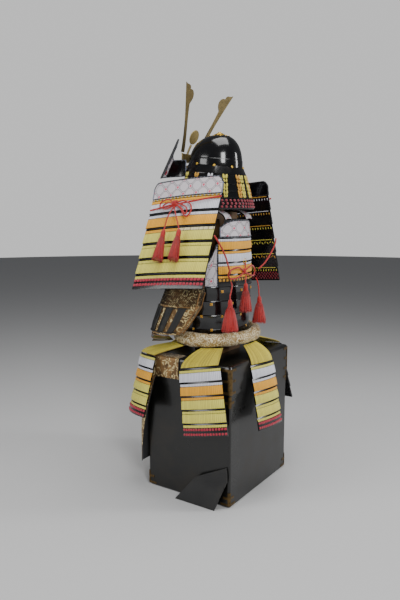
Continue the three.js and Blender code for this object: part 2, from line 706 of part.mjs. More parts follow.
/** One half of the thigh apron, laid over the lid's rim: short at the side and long in front. */
function apron() {
  const { sideEnd, frontEnd, out, lidInset, sideHem, frontHem, flare } = APRON;
  const lidTop = CHEST.height + 0.5 + CLOTH / 2;
  const reach = (offset) => {
    const radius = Math.max(1.5, CHEST.round + offset);
    const sideRun = sideEnd + (CHEST.depth / 2 + offset - radius);
    return sideRun + (Math.PI / 2) * radius + (CHEST.width / 2 + offset - radius) - frontEnd;
  };
  const turnAt = 0.12;
  const face = (s, t) => {
    const share = 1 - s;
    const hem = lerp(sideHem, frontHem, smoothstep(share, 0.3, 0.46));
    if (t < turnAt) {
      const offset = lerp(-lidInset, -4, t / turnAt);
      return besideLid(share * reach(offset), offset, lidTop);
    }
    const drop = (t - turnAt) / (1 - turnAt);
    const edge = Math.min(1, drop * 12) * 90;
    const shoulder = lidTop - 10 * (1 - Math.cos(radians(edge)));
    const z = edge < 90 ? shoulder : lerp(shoulder, hem, (drop * 12 - 1) / 11);
    const offset = lerp(-4, out, Math.sin(radians(edge))) + flare * smoothstep(lidTop - z, 60, 340);
    return besideLid(share * reach(offset), offset, z);
  };
  const rows = [0, 0.12, 0.145, 0.17, 0.1933, 0.34, 0.55, 0.78, 1].map((t) => ({ t }));
  const columns = [0, 0.2, 0.4, 0.51, 0.532, 0.553, 0.575, 0.597, 0.65, 0.7, 0.85, 1].map((s) => ({ s }));
  return wall(face, { rows, columns, thickness: CLOTH });
}

// ---- cords and tassels ------------------------------------------------------------------------

/** A spot on a shoulder guard, in millimetres across from its middle, down from its head and off its face. */
function onSode(face, across, down, lift) {
  const t = down / SODE.length;
  return face(0.5 + across / lerp(SODE.topWidth, SODE.bottomWidth, t), t, lift).toArray();
}

const AGEMAKI = { knot: [14, 124, 896], loopX: 106, loopY: 113, loopZ: 890 };

/** One open loop of the bow on the back. */
function bowLoop(side) {
  const { knot: [x, y, z], loopX, loopY, loopZ } = AGEMAKI;
  return cordAlong([
    [x + side * 9, y, z + 6], [x + side * 0.5 * loopX, y + 2, z + 22], [x + side * 0.9 * loopX, loopY + 3, loopZ + 16],
    [x + side * loopX, loopY, loopZ], [x + side * 0.9 * loopX, loopY + 3, loopZ - 16],
    [x + side * 0.5 * loopX, y + 2, z - 22], [x + side * 9, y, z - 6],
  ], CORD, 14);
}

function agemakiKnot() {
  const [x, y, z] = AGEMAKI.knot;
  return loft([[-11, 0.6], [-7, 0.95], [0, 1], [7, 0.95], [11, 0.6]].map(([up, scale]) =>
    circleRing(vector(x, y, z + up), vector(0, 0, 1), 4 * scale, 10)));
}

/** A cord with a tassel at its end, as one hanging body. */
function pendant(route, axis, length, spread) {
  const end = vector(...route.at(-1));
  const tassel = tasselBody(end.clone().addScaledVector(axis, -3), axis, length, spread);
  return joined(cordAlong(route, 0.7 * CORD, 6), tassel);
}

function addBackBow() {
  add("agemaki_knot", agemakiKnot(), RED_CORD);
  add("agemaki_loop_left", bowLoop(1), RED_CORD);
  add("agemaki_loop_right", bowLoop(-1), RED_CORD);
  const down = vector(0, 0, -1);
  const hang = (name, route, length, spread) =>
    add(`agemaki_tassel_${name}`, pendant(route, down, length, spread), RED_CORD);
  hang("left", [[112, 120, 862], [124, 132, 850], [146, 142, 832], [158, 144, 812], [160, 146, 798]], 128, 33);
  hang("middle", [[14, 131, 880], [24, 138, 872], [38, 143, 862], [46, 149, 850]], 116, 26);
  hang("right", [[-86, 122, 862], [-84, 131, 848], [-80, 139, 822], [-77, 142, 802], [-76, 145, 784]], 114, 29);
  const tie = (name, route) => add(`agemaki_cord_${name}`, cordAlong(route, 0.8 * CORD, 10), RED_CORD);
  tie("left", [[127, 126, 897], [156, 135, 926], [192, 142, 970], [228, 140, 1014], [252, 132, 1046]]);
  tie("right", [[-98, 128, 898], [-138, 140, 926], [-178, 148, 968], [-200, 151, 998], [-215, 147, 1020]]);
}

/** The way a shoulder guard faces. */
function sodeNormal(face) {
  return face(0.5, 0.5, 1).sub(face(0.5, 0.5, 0)).normalize();
}

/** The cord laid along the head of a shoulder guard, with the bow that ties it. */
function sodeBow(face) {
  const at = (across, down, lift) => onSode(face, across, down, lift);
  const knot = at(-26, 40, 14);
  const cord = cordAlong([at(166, 16, 8), at(110, 24, 11), at(50, 32, 12), knot, at(-90, 46, 12), at(-154, 50, 9)], 0.8 * CORD, 10);
  const normal = sodeNormal(face);
  const body = loft([[-7, 0.7], [0, 1], [7, 0.7]].map(([lift, scale]) =>
    circleRing(vector(...knot).addScaledVector(normal, lift), normal, 24 * scale, 10)));
  return joined(cord, body);
}

/** Two tassels that hang from the bow down the face of the shoulder guard. */
function sodeTassels(face) {
  const at = (across, down, lift) => onSode(face, across, down, lift);
  const down = face(0.5, 0.6).sub(face(0.5, 0.4)).normalize();
  const head = at(-26, 70, 24);
  const front = pendant([head, at(-40, 110, 28), at(-43, 160, 31)], down, 130, 21);
  const rear = pendant([head, at(0, 112, 28), at(29, 162, 31)], down, 130, 21);
  return joined(front, rear);
}

// ---- assembly ---------------------------------------------------------------------------------

add("chest_body", chestBody(), CHEST_LACQUER);
add("chest_lid", chestLid(), CHEST_LACQUER);
add("chest_foot_board", footBoard(), BLACK_LACQUER);
add("stand_frame", standFrame(), STAND_WOOD);

add("waist_shell", waistShell(), BLACK_LACQUER);
add("back_lames", chestLames(90), LACED_SILK);
add("front_lames", chestLames(-90), LACED_SILK);
add("back_board", topBoard(90, 64, 47), PRINTED_LEATHER);
add("front_board", topBoard(-90, 44, 34), PRINTED_LEATHER);
addPair("side_plate", sidePlate(), PRINTED_LEATHER);
addPair("shoulder_strap", shoulderStrap(), PRINTED_LEATHER);
add("waist_sash", waistSash(), GOLD_BROCADE);

SKIRT.forEach((panel, index) => {
  add(`skirt_cords_${panel.name}`, skirtCords(panel, index), YELLOW_CORD);
  add(`skirt_panel_${panel.name}`, skirtPanel(panel), LACED_SILK);
});

for (const [name, place] of Object.entries(SODE_PLACES)) {
  const sode = { ...SODE, ...place };
  const face = hangingFace(sode);
  const set = (piece, geometry, material) =>
    add(`${piece}_${name}`, name === "left" ? geometry : mirrored(geometry), material);
  set("sode_panel", sodePanel(face), LACED_SILK);
  set("sode_crown", sodeCrown(face, sode), PRINTED_LEATHER);
  set("sode_bow", sodeBow(face), RED_CORD);
  set("sode_tassels", sodeTassels(face), RED_CORD);
}

add("helmet_bowl", bowl(), BLACK_LACQUER);
add("helmet_peak", peak(), BLACK_LACQUER);
add("neck_guard", neckGuard(), LACED_SILK);
addPair("neck_wing", neckWing(), PRINTED_LEATHER);
add("crest_stand", crestStand(), OLD_BRONZE);
add("crest_disc", crestDisc(), OLD_BRONZE);
addHorns();

for (const [name, table] of [["left", SLEEVE], ["right", rightSleeve]]) {
  const set = (piece, geometry, material) =>
    add(`${piece}_${name}`, name === "left" ? geometry : mirrored(geometry), material);
  set("sleeve", sleeve(table), BROWN_BROCADE);
  set("forearm_guard", forearmGuard(table), BLACK_LACQUER);
  set("hand_guard", handGuard(table), BLACK_LACQUER);
}
addPair("thigh_apron", apron(), BROWN_BROCADE);

addBackBow();

export default armour;
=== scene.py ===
"""A full samurai armour set out on the lacquered chest that it is stored in.

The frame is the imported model: metres, +Z up, the armour faces -Y and its left arm is at +X. Sizes in the
classes below are millimetres, and a piece's mesh is turned to metres when it is made.
"""

from __future__ import annotations

import logging
import math
from dataclasses import dataclass
from enum import Enum
from typing import Callable, Iterable, Sequence

import bpy
import numpy as np
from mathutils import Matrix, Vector

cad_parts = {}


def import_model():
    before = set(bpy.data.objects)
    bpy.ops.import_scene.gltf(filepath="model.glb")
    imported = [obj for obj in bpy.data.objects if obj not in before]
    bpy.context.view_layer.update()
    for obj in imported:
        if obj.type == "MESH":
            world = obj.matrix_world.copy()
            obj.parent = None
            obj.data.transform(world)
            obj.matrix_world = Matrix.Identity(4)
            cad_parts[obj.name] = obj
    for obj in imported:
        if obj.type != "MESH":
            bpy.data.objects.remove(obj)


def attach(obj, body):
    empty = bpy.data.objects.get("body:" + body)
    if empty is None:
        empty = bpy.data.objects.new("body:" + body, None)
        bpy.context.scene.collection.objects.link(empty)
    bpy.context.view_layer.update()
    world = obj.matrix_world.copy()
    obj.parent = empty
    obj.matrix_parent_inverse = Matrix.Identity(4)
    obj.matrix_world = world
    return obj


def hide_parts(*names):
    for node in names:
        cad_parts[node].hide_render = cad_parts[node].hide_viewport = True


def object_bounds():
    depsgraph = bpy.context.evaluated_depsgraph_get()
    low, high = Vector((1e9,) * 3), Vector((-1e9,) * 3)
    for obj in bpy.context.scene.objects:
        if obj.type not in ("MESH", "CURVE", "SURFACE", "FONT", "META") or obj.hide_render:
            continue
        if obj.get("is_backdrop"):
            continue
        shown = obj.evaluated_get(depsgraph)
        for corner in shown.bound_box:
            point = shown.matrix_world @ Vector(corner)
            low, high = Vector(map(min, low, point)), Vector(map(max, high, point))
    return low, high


LOG = logging.getLogger("armour")
MM = 0.001
FIGURE_Y = -10.0
SIDES = (("left", False), ("right", True))  # each side's name, and whether its piece is mirrored

Array = np.ndarray
Surface = Callable[[Array, Array, Array], Array]


# ---- colour and node helpers -------------------------------------------------------------------------


def linear(code: str, alpha: float = 1.0) -> tuple[float, float, float, float]:
    """Turns an sRGB hex value to linear light.

    Args:
        code: The colour as "#rrggbb".
        alpha: The fourth value.

    Returns:
        Red, green, blue and alpha.
    """
    parts = [int(code[i : i + 2], 16) / 255 for i in (1, 3, 5)]
    light = [c / 12.92 if c <= 0.04045 else ((c + 0.055) / 1.055) ** 2.4 for c in parts]
    return (light[0], light[1], light[2], alpha)


def add_node(
        tree: bpy.types.NodeTree, kind: str, links: dict[object, object] | None = None,
        **settings: object) -> bpy.types.Node:
    """Adds one node.

    Args:
        tree: The tree that the node goes into.
        kind: The node's type name.
        links: For each input, by name or number: a value, an output, or a node for its first output.
        settings: Properties set on the node itself.

    Returns:
        The new node.
    """
    node = tree.nodes.new(kind)
    for key, value in settings.items():
        setattr(node, key, value)
    for key, value in (links or {}).items():
        feed = value.outputs[0] if isinstance(value, bpy.types.Node) else value
        if isinstance(feed, bpy.types.NodeSocket):
            tree.links.new(feed, node.inputs[key])
        else:
            node.inputs[key].default_value = feed
    return node


# ---- finishes ----------------------------------------------------------------------------------------


@dataclass(frozen=True)
class Finish:
    """A surface finish: its common name and the slot that it belongs to."""

    name: str
    slot: str

    def material(self) -> bpy.types.Material:
        """Makes the material, or gives the one already made."""
        made = bpy.data.materials.get(self.name)
        if made is not None:
            return made
        made = bpy.data.materials.new(self.name)
        made.use_nodes = True
        tree = made.node_tree
        tree.nodes.clear()
        shader = add_node(tree, "ShaderNodeBsdfPrincipled", self.dress(tree))
        add_node(tree, "ShaderNodeOutputMaterial", {"Surface": shader})
        return made

    def dress(self, tree: bpy.types.NodeTree) -> dict[object, object]:
        """Adds this finish's own nodes and gives what feeds each of the shader's inputs."""
        raise NotImplementedError


@dataclass(frozen=True)
class Lacquer(Finish):
    """Brushed and polished urushi: deep, glossy, a little uneven, rubbed where hands have been."""

    colour: str = "#0b0b0d"
    rubbed: str = "#2a2018"
    roughness: float = 0.16
    coat: float = 0.5
    wear: float = 0.25
    patch: float = 60.0

    def dress(self, tree: bpy.types.NodeTree) -> dict[object, object]:
        """Mottled colour, brush unevenness in the gloss and a faint orange-peel bump."""
        spot = add_node(tree, "ShaderNodeTexCoord").outputs["Object"]
        broad = add_node(
            tree, "ShaderNodeTexNoise",
            {"Vector": spot, "Scale": 1000 / self.patch, "Detail": 5.0, "Roughness": 0.6})
        worn = add_node(
            tree, "ShaderNodeMapRange", {0: broad.outputs["Fac"], 1: 0.52, 2: 0.72, 3: 0.0, 4: self.wear})
        colour = add_node(
            tree, "ShaderNodeMix", {0: worn, 6: linear(self.colour), 7: linear(self.rubbed)},
            data_type="RGBA")
        gloss = add_node(
            tree, "ShaderNodeMapRange",
            {0: broad.outputs["Fac"], 1: 0.3, 2: 0.75, 3: self.roughness * 0.8, 4: self.roughness * 1.5})
        peel = add_node(tree, "ShaderNodeTexNoise", {"Vector": spot, "Scale": 220.0, "Detail": 3.0})
        bump = add_node(
            tree, "ShaderNodeBump", {"Strength": 0.06, "Distance": 0.001, "Height": peel.outputs["Fac"]})
        return {
            "Base Color": colour.outputs[2], "Roughness": gloss, "Normal": bump, "Coat Weight": self.coat,
            "Coat Roughness": 0.06}


@dataclass(frozen=True)
class Silk(Finish):
    """Flat plaited silk cord: a soft sheen, a plait across each cord and painted shade in the gap between
    cords.

    The cords run down the piece, so the pattern reads its UV map, in metres across and down.
    """

    colour: str = "#e3da5e"
    shade: str = "#8a7a26"
    pitch: float = 7.2
    streak: float = 0.25
    # How dark the painted shade between cords is.
    painted_groove_shade: float = 0.8

    def dress(self, tree: bpy.types.NodeTree) -> dict[object, object]:
        """Cord by cord colour, painted shade along the gap between cords and the plait's bump."""
        uv = add_node(tree, "ShaderNodeUVMap", uv_map="UVMap").outputs["UV"]
        axes = add_node(tree, "ShaderNodeSeparateXYZ", {0: uv})
        across = add_node(
            tree, "ShaderNodeMath", {0: axes.outputs["X"], 1: 1000 / self.pitch}, operation="MULTIPLY")
        cell = add_node(tree, "ShaderNodeMath", {0: across}, operation="FLOOR")
        inside = add_node(tree, "ShaderNodeMath", {0: across, 1: 0.5}, operation="PINGPONG")
        # The line between cords is painted shade: its darkness is mixed into the colour, on top of the
        # shade from the wall's own ridges.
        line = add_node(
            tree, "ShaderNodeMapRange", {0: inside, 1: 0.0, 2: 0.13, 3: self.painted_groove_shade, 4: 0.0},
            interpolation_type="SMOOTHSTEP")
        own = add_node(tree, "ShaderNodeTexWhiteNoise", {"W": cell}, noise_dimensions="1D")
        stretched = add_node(tree, "ShaderNodeMapping", {"Vector": uv, "Scale": (900.0, 60.0, 1.0)})
        fibre = add_node(tree, "ShaderNodeTexNoise", {"Vector": stretched, "Scale": 1.0, "Detail": 3.0})
        tone = add_node(
            tree, "ShaderNodeMath", {0: own.outputs["Value"], 1: fibre.outputs["Fac"]},
            operation="MULTIPLY")
        aged = add_node(tree, "ShaderNodeMapRange", {0: tone, 1: 0.15, 2: 0.62, 3: 0.0, 4: self.streak})
        # The shade colour serves both the painted shade between cords and the real streaks of uneven cord
        # tone.
        dark = add_node(tree, "ShaderNodeMath", {0: line, 1: aged}, operation="MAXIMUM")
        colour = add_node(
            tree, "ShaderNodeMix", {0: dark, 6: linear(self.colour), 7: linear(self.shade)},
            data_type="RGBA")
        plait = add_node(
            tree, "ShaderNodeTexWave", {"Vector": uv, "Scale": 110.0, "Distortion": 1.5, "Detail": 1.0},
            wave_type="BANDS", bands_direction="Y")
        height = add_node(
            tree, "ShaderNodeMath", {0: plait.outputs["Fac"], 1: fibre.outputs["Fac"]}, operation="ADD")
        bump = add_node(tree, "ShaderNodeBump", {"Strength": 0.25, "Distance": 0.0006, "Height": height})
        return {"Base Color": colour.outputs[2], "Normal": bump, "Roughness": 0.62, "Sheen Weight": 0.2}


@dataclass(frozen=True)
class Dyed(Finish):
    """Silk in the piece: braid, knots, fringe and thread, coloured by small uneven noise."""

    colour: str = "#c41208"
    shade: str = "#6e0703"
    grain: float = 2.5
    roughness: float = 0.6
    stretch: tuple[float, float, float] = (1.0, 1.0, 0.35)

    def dress(self, tree: bpy.types.NodeTree) -> dict[object, object]:
        """Fibre noise in the colour and the bump."""
        spot = add_node(tree, "ShaderNodeTexCoord").outputs["Object"]
        laid = add_node(tree, "ShaderNodeMapping", {"Vector": spot, "Scale": self.stretch})
        fibre = add_node(
            tree, "ShaderNodeTexNoise",
            {"Vector": laid, "Scale": 1000 / self.grain, "Detail": 4.0, "Roughness": 0.6})
        tone = add_node(
            tree, "ShaderNodeMapRange", {0: fibre.outputs["Fac"], 1: 0.35, 2: 0.68, 3: 0.75, 4: 0.0})
        colour = add_node(
            tree, "ShaderNodeMix", {0: tone, 6: linear(self.colour), 7: linear(self.shade)},
            data_type="RGBA")
        bump = add_node(
            tree, "ShaderNodeBump", {"Strength": 0.35, "Distance": 0.0008, "Height": fibre.outputs["Fac"]})
        return {
            "Base Color": colour.outputs[2], "Normal": bump, "Roughness": self.roughness,
            "Sheen Weight": 0.3}


@dataclass(frozen=True)
class PrintedLeather(Finish):
    """Stencilled deerskin: a lattice of double lines with a small flower at each crossing.

    The lattice is the common diaper of such leathers. Its lines are drawn nearly twice as wide as the
    real 1 mm, so that they still show at the distance of the whole figure.
    """

    ground: str = "#d3cdd2"
    ink: str = "#3a2530"
    flower: str = "#d9486a"
    cell: float = 42.0

    def dress(self, tree: bpy.types.NodeTree) -> dict[object, object]:
        """The lattice, rings and flowers on the piece's UV map, over the grain of the skin."""
        uv = add_node(tree, "ShaderNodeUVMap", uv_map="UVMap").outputs["UV"]
        size = 1000 / self.cell
        turned = add_node(
            tree, "ShaderNodeMapping",
            {"Vector": uv, "Rotation": (0.0, 0.0, math.radians(45)), "Scale": (size, size, 1.0)})
        wrapped = add_node(tree, "ShaderNodeVectorMath", {0: turned}, operation="FRACTION")
        centred = add_node(
            tree, "ShaderNodeVectorMath", {0: wrapped, 1: (0.5, 0.5, 0.0)}, operation="SUBTRACT")
        flat = add_node(
            tree, "ShaderNodeVectorMath", {0: centred, 1: (1.0, 1.0, 0.0)}, operation="MULTIPLY")
        reach = add_node(tree, "ShaderNodeVectorMath", {0: flat}, operation="LENGTH")
        both = add_node(tree, "ShaderNodeVectorMath", {0: flat}, operation="ABSOLUTE")
        axes = add_node(tree, "ShaderNodeSeparateXYZ", {0: both})
        raw = add_node(tree, "ShaderNodeSeparateXYZ", {0: flat})
        bars = [
            add_node(
                tree, "ShaderNodeMath", {0: axes.outputs[axis], 1: 0.062, 2: 0.021},
                operation="COMPARE").outputs[0]
            for axis in ("X", "Y")]
        bar = add_node(tree, "ShaderNodeMath", {0: bars[0], 1: bars[1]}, operation="MAXIMUM")
        outside = add_node(
            tree, "ShaderNodeMath", {0: reach.outputs["Value"], 1: 0.24}, operation="GREATER_THAN")
        lattice = add_node(tree, "ShaderNodeMath", {0: bar, 1: outside}, operation="MULTIPLY")
        ring = add_node(
            tree, "ShaderNodeMath", {0: reach.outputs["Value"], 1: 0.24, 2: 0.025}, operation="COMPARE")
        drawn = add_node(tree, "ShaderNodeMath", {0: lattice, 1: ring}, operation="MAXIMUM")
        faint = add_node(tree, "ShaderNodeMath", {0: drawn, 1: 0.78}, operation="MULTIPLY")
        angle = add_node(
            tree, "ShaderNodeMath", {0: raw.outputs["Y"], 1: raw.outputs["X"]}, operation="ARCTAN2")
        petals = add_node(tree, "ShaderNodeMath", {0: angle, 1: 5.0}, operation="MULTIPLY")
        wave = add_node(tree, "ShaderNodeMath", {0: petals}, operation="COSINE")
        edge = add_node(tree, "ShaderNodeMath", {0: wave, 1: 0.035, 2: 0.115}, operation="MULTIPLY_ADD")
        bloom = add_node(
            tree, "ShaderNodeMath", {0: reach.outputs["Value"], 1: edge}, operation="LESS_THAN")
        inked = add_node(
            tree, "ShaderNodeMix", {0: faint, 6: linear(self.ground), 7: linear(self.ink)},
            data_type="RGBA")
        colour = add_node(
            tree, "ShaderNodeMix", {0: bloom, 6: inked.outputs[2], 7: linear(self.flower)},
            data_type="RGBA")
        grain = add_node(tree, "ShaderNodeTexVoronoi", {"Vector": uv, "Scale": 700.0})
        bump = add_node(
            tree, "ShaderNodeBump",
            {"Strength": 0.15, "Distance": 0.0005, "Height": grain.outputs["Distance"]})
        return {"Base Color": colour.outputs[2], "Normal": bump, "Roughness": 0.55}


@dataclass(frozen=True)
class Brocade(Finish):
    """Figured silk: curling scrolls in metal thread on a woven ground, with the weave in the bump."""

    ground: str = "#8f6b3c"
    figure: str = "#d8c48e"
    dark: str = "#3c2814"
    curl: float = 26.0
    metal: float = 0.35
    cover: float = 0.5

    def dress(self, tree: bpy.types.NodeTree) -> dict[object, object]:
        """Scrolls as broken rings round scattered centres, darker gaps, and warp and weft."""
        spot = add_node(tree, "ShaderNodeTexCoord").outputs["Object"]
        stray = add_node(
            tree, "ShaderNodeTexNoise", {"Vector": spot, "Scale": 1400 / self.curl, "Detail": 2.0})
        pushed = add_node(
            tree, "ShaderNodeVectorMath", {0: stray.outputs["Color"], "Scale": 0.006}, operation="SCALE")
        moved = add_node(tree, "ShaderNodeVectorMath", {0: spot, 1: pushed}, operation="ADD")
        centres = add_node(tree, "ShaderNodeTexVoronoi", {"Vector": moved, "Scale": 1000 / self.curl})
        rings = add_node(
            tree, "ShaderNodeMath", {0: centres.outputs["Distance"], 1: 0.16}, operation="PINGPONG")
        scroll = add_node(
            tree, "ShaderNodeMapRange", {0: rings, 1: 0.07, 2: 0.1, 3: 0.0, 4: 1.0},
            interpolation_type="SMOOTHSTEP")
        broken = add_node(
            tree, "ShaderNodeMapRange",
            {0: stray.outputs["Fac"], 1: self.cover - 0.06, 2: self.cover + 0.04, 3: 0.0, 4: 1.0},
            interpolation_type="SMOOTHSTEP")
        figure = add_node(tree, "ShaderNodeMath", {0: scroll, 1: broken}, operation="MULTIPLY")
        wide = add_node(tree, "ShaderNodeTexNoise", {"Vector": spot, "Scale": 28.0, "Detail": 4.0})
        gaps = add_node(
            tree, "ShaderNodeMapRange", {0: wide.outputs["Fac"], 1: 0.42, 2: 0.66, 3: 0.0, 4: 0.85})
        under = add_node(
            tree, "ShaderNodeMix", {0: gaps, 6: linear(self.ground), 7: linear(self.dark)},
            data_type="RGBA")
        colour = add_node(
            tree, "ShaderNodeMix", {0: figure, 6: under.outputs[2], 7: linear(self.figure)},
            data_type="RGBA")
        weave = add_node(tree, "ShaderNodeTexNoise", {"Vector": spot, "Scale": 900.0, "Detail": 2.0})
        height = add_node(tree, "ShaderNodeMath", {0: figure, 1: weave.outputs["Fac"]}, operation="ADD")
        bump = add_node(tree, "ShaderNodeBump", {"Strength": 0.35, "Distance": 0.0008, "Height": height})
        return {
            "Base Color": colour.outputs[2], "Normal": bump, "Metallic": self.metal, "Roughness": 0.48,
            "Sheen Weight": 0.15}


@dataclass(frozen=True)
class CastMetal(Finish):
    """Gilt bronze or dark iron: hammered, satin, darker where dirt has settled."""

    colour: str = "#7d6b34"
    dirt: str = "#2a2414"
    roughness: float = 0.38
    metal: float = 0.85
    patch: float = 22.0
    soiled: float = 0.6

    def dress(self, tree: bpy.types.NodeTree) -> dict[object, object]:
        """Patina in the colour and roughness, and a faint hammered bump."""
        spot = add_node(tree, "ShaderNodeTexCoord").outputs["Object"]
        patina = add_node(
            tree, "ShaderNodeTexNoise",
            {"Vector": spot, "Scale": 1000 / self.patch, "Detail": 6.0, "Roughness": 0.65})
        share = add_node(
            tree, "ShaderNodeMapRange",
            {0: patina.outputs["Fac"], 1: 0.42, 2: 0.75, 3: 0.0, 4: self.soiled})
        colour = add_node(
            tree, "ShaderNodeMix", {0: share, 6: linear(self.colour), 7: linear(self.dirt)},
            data_type="RGBA")
        rough = add_node(
            tree, "ShaderNodeMapRange",
            {0: patina.outputs["Fac"], 1: 0.3, 2: 0.8, 3: self.roughness * 0.8, 4: self.roughness * 1.5})
        dents = add_node(tree, "ShaderNodeTexNoise", {"Vector": spot, "Scale": 140.0, "Detail": 2.0})
        bump = add_node(
            tree, "ShaderNodeBump", {"Strength": 0.2, "Distance": 0.0008, "Height": dents.outputs["Fac"]})
        return {"Base Color": colour.outputs[2], "Roughness": rough, "Normal": bump, "Metallic": self.metal}


@dataclass(frozen=True)
class PlanedWood(Finish):
    """Planed cedar with an oil finish: straight grain along its length."""

    colour: str = "#8a6a45"
    grain: str = "#5a3f24"

    def dress(self, tree: bpy.types.NodeTree) -> dict[object, object]:
        """Long grain lines from stretched noise."""
        spot = add_node(tree, "ShaderNodeTexCoord").outputs["Object"]
        laid = add_node(tree, "ShaderNodeMapping", {"Vector": spot, "Scale": (90.0, 90.0, 7.0)})
        lines = add_node(tree, "ShaderNodeTexNoise", {"Vector": laid, "Scale": 1.0, "Detail": 6.0})
        colour = add_node(
            tree, "ShaderNodeMix", {0: lines.outputs["Fac"], 6: linear(self.colour), 7: linear(self.grain)},
            data_type="RGBA")
        bump = add_node(
            tree, "ShaderNodeBump", {"Strength": 0.2, "Distance": 0.0005, "Height": lines.outputs["Fac"]})
        return {"Base Color": colour.outputs[2], "Normal": bump, "Roughness": 0.5}


@dataclass(frozen=True)
class SeamlessPaper(Finish):
    """Matt studio paper."""

    colour: str = "#dddddd"

    def dress(self, tree: bpy.types.NodeTree) -> dict[object, object]:
        """A plain matt surface with the least unevenness."""
        spot = add_node(tree, "ShaderNodeTexCoord").outputs["Object"]
        cloud = add_node(tree, "ShaderNodeTexNoise", {"Vector": spot, "Scale": 0.6})
        colour = add_node(
            tree, "ShaderNodeMix",
            {0: cloud.outputs["Fac"], 6: linear(self.colour), 7: linear(self.colour)}, data_type="RGBA")
        return {"Base Color": colour.outputs[2], "Roughness": 0.9, "Specular IOR Level": 0.1}


BLACK = Lacquer("urushi lacquer over iron", "black_lacquer")
LAME_BLACK = Lacquer("urushi lacquer on rawhide lames", "laced_silk", roughness=0.24, coat=0.3)
CHEST_BLACK = Lacquer(
    "urushi lacquer over chest boards", "chest_lacquer", colour="#0b0b09", rubbed="#33281a", roughness=0.3,
    coat=0.25, wear=0.35, patch=140.0)
YELLOW = Silk("laced silk, yellow", "laced_silk")
FAN_YELLOW = Silk(
    "plaited silk cords, yellow", "yellow_cord", colour="#d9c93a", shade="#6f4a16", streak=0.6)
ORANGE = Silk("laced silk, orange", "laced_silk", colour="#f2ad1c", shade="#9a6410")
WHITE = Silk("laced silk, white", "laced_silk", colour="#dfe0e8", shade="#7d7d8c")
SPECKLED = Silk(
    "laced silk, mixed", "laced_silk", colour="#efe6b8", shade="#7a5f16", streak=0.95, pitch=5.0)
CRIMSON = Dyed("cross-laced silk, crimson", "laced_silk", colour="#c8203f", shade="#7c0c22", roughness=0.45)
# A darker copy of the crimson silk, as painted shade, for the knots of the neck guard and the inner side of
# the shoulder guards.
SHADED_CRIMSON = Dyed(
    "cross-laced silk, crimson in painted shade", "laced_silk", colour="#9c1630", shade="#5a0a1a", roughness=0.45)
GOLD_THREAD = Dyed("lacing silk, gold", "laced_silk", colour="#e3a92e", shade="#8a5a12")
YELLOW_THREAD = Dyed("lacing silk, yellow", "laced_silk", colour="#e8dd52", shade="#8f7d1e")
WHITE_THREAD = Dyed("lacing silk, white", "laced_silk", colour="#e4e4ec", shade="#8c8c98")
RED_BRAID = Dyed("round braid, red", "red_cord", colour="#c8140a", shade="#780804", grain=3.0)
RED_FRINGE = Dyed(
    "silk fringe, red", "red_cord", colour="#c0140a", shade="#6a0603", grain=1.6, stretch=(1.0, 1.0, 0.12))
LEATHER = PrintedLeather("stencilled deerskin", "printed_leather")
EDGE_DARK = Dyed("edge braid, indigo black", "printed_leather", colour="#14161e", shade="#050508")
EDGE_PALE = Dyed("edge stitches, blue grey", "printed_leather", colour="#8d93a6", shade="#4a4e5e")
SASH_GOLD = Brocade(
    "brocade, gold scrolls", "gold_brocade", ground="#a98c58", figure="#e4d9b4", dark="#8a6a38", curl=20.0,
    metal=0.2, cover=0.44)
SLEEVE_BROWN = Brocade("brocade, brown and gold", "brown_brocade")
SPLINT = Lacquer(
    "urushi lacquer on iron splints", "black_lacquer", colour="#121210", rubbed="#3a3424", roughness=0.34,
    coat=0.15, wear=0.5, patch=30.0)
HORN_BRONZE = CastMetal(
    "old gilt bronze", "old_bronze", colour="#85744a", dirt="#3d3522", metal=0.55, roughness=0.5)
HORN_DARK = CastMetal(
    "old gilt bronze, darkened", "old_bronze", colour="#3d3524", dirt="#15120b", metal=0.5, roughness=0.45)
MAIL = CastMetal(
    "blackened mail", "brown_brocade", colour="#1c1712", dirt="#060505", metal=0.5, roughness=0.5)
LINING = Dyed(
    "hemp lining, indigo", "brown_brocade", colour="#14151c", shade="#07070a", grain=2.0, roughness=0.8)
CORD_GOLD = Dyed("edge braid, old gold", "brown_brocade", colour="#9a6c33", shade="#4d3316", grain=2.5)
DISC_BRONZE = CastMetal(
    "dull gilt disc", "old_bronze", colour="#b39f66", dirt="#6c5c34", metal=0.6, roughness=0.5)
GILT = CastMetal(
    "fire-gilt copper", "old_bronze", colour="#e0b64a", dirt="#8a6418", roughness=0.3, soiled=0.3)
IRON = CastMetal(
    "blackened iron fittings", "chest_lacquer", colour="#6a5430", dirt="#17120a", roughness=0.45,
    soiled=0.95, patch=14.0, metal=0.7)
WOOD = PlanedWood("planed cedar", "stand_wood")
PAPER = SeamlessPaper("seamless studio paper", "")


# ---- surfaces, walls and tubes -----------------------------------------------------------------------


def smooth_path(points: Sequence[Sequence[float]], count: int, pull: float = 0.5) -> Array:
    """Runs a smooth line through points.

    Args:
        points: The points that it passes, in mm.
        count: How many points come back.
        pull: How strongly each point's neighbours set the direction there.

    Returns:
        An array of count by 3.
    """
    given = np.asarray(points, float)
    ends = np.vstack([2 * given[0] - given[1], given, 2 * given[-1] - given[-2]])
    where = np.linspace(0, len(given) - 1, count)
    k = np.minimum(where.astype(int), len(given) - 2)
    u = (where - k)[:, None]
    a, b, c, d = ends[k], ends[k + 1], ends[k + 2], ends[k + 3]
    m, n = pull * (c - a), pull * (d - b)
    return (
        2 * u**3 - 3 * u**2 + 1
    ) * b + (u**3 - 2 * u**2 + u) * m + (3 * u**2 - 2 * u**3) * c + (u**3 - u**2) * n


def unit(vectors: Array) -> Array:
    """Vectors scaled to length one."""
    return vectors / np.maximum(np.linalg.norm(vectors, axis=-1, keepdims=True), 1e-12)


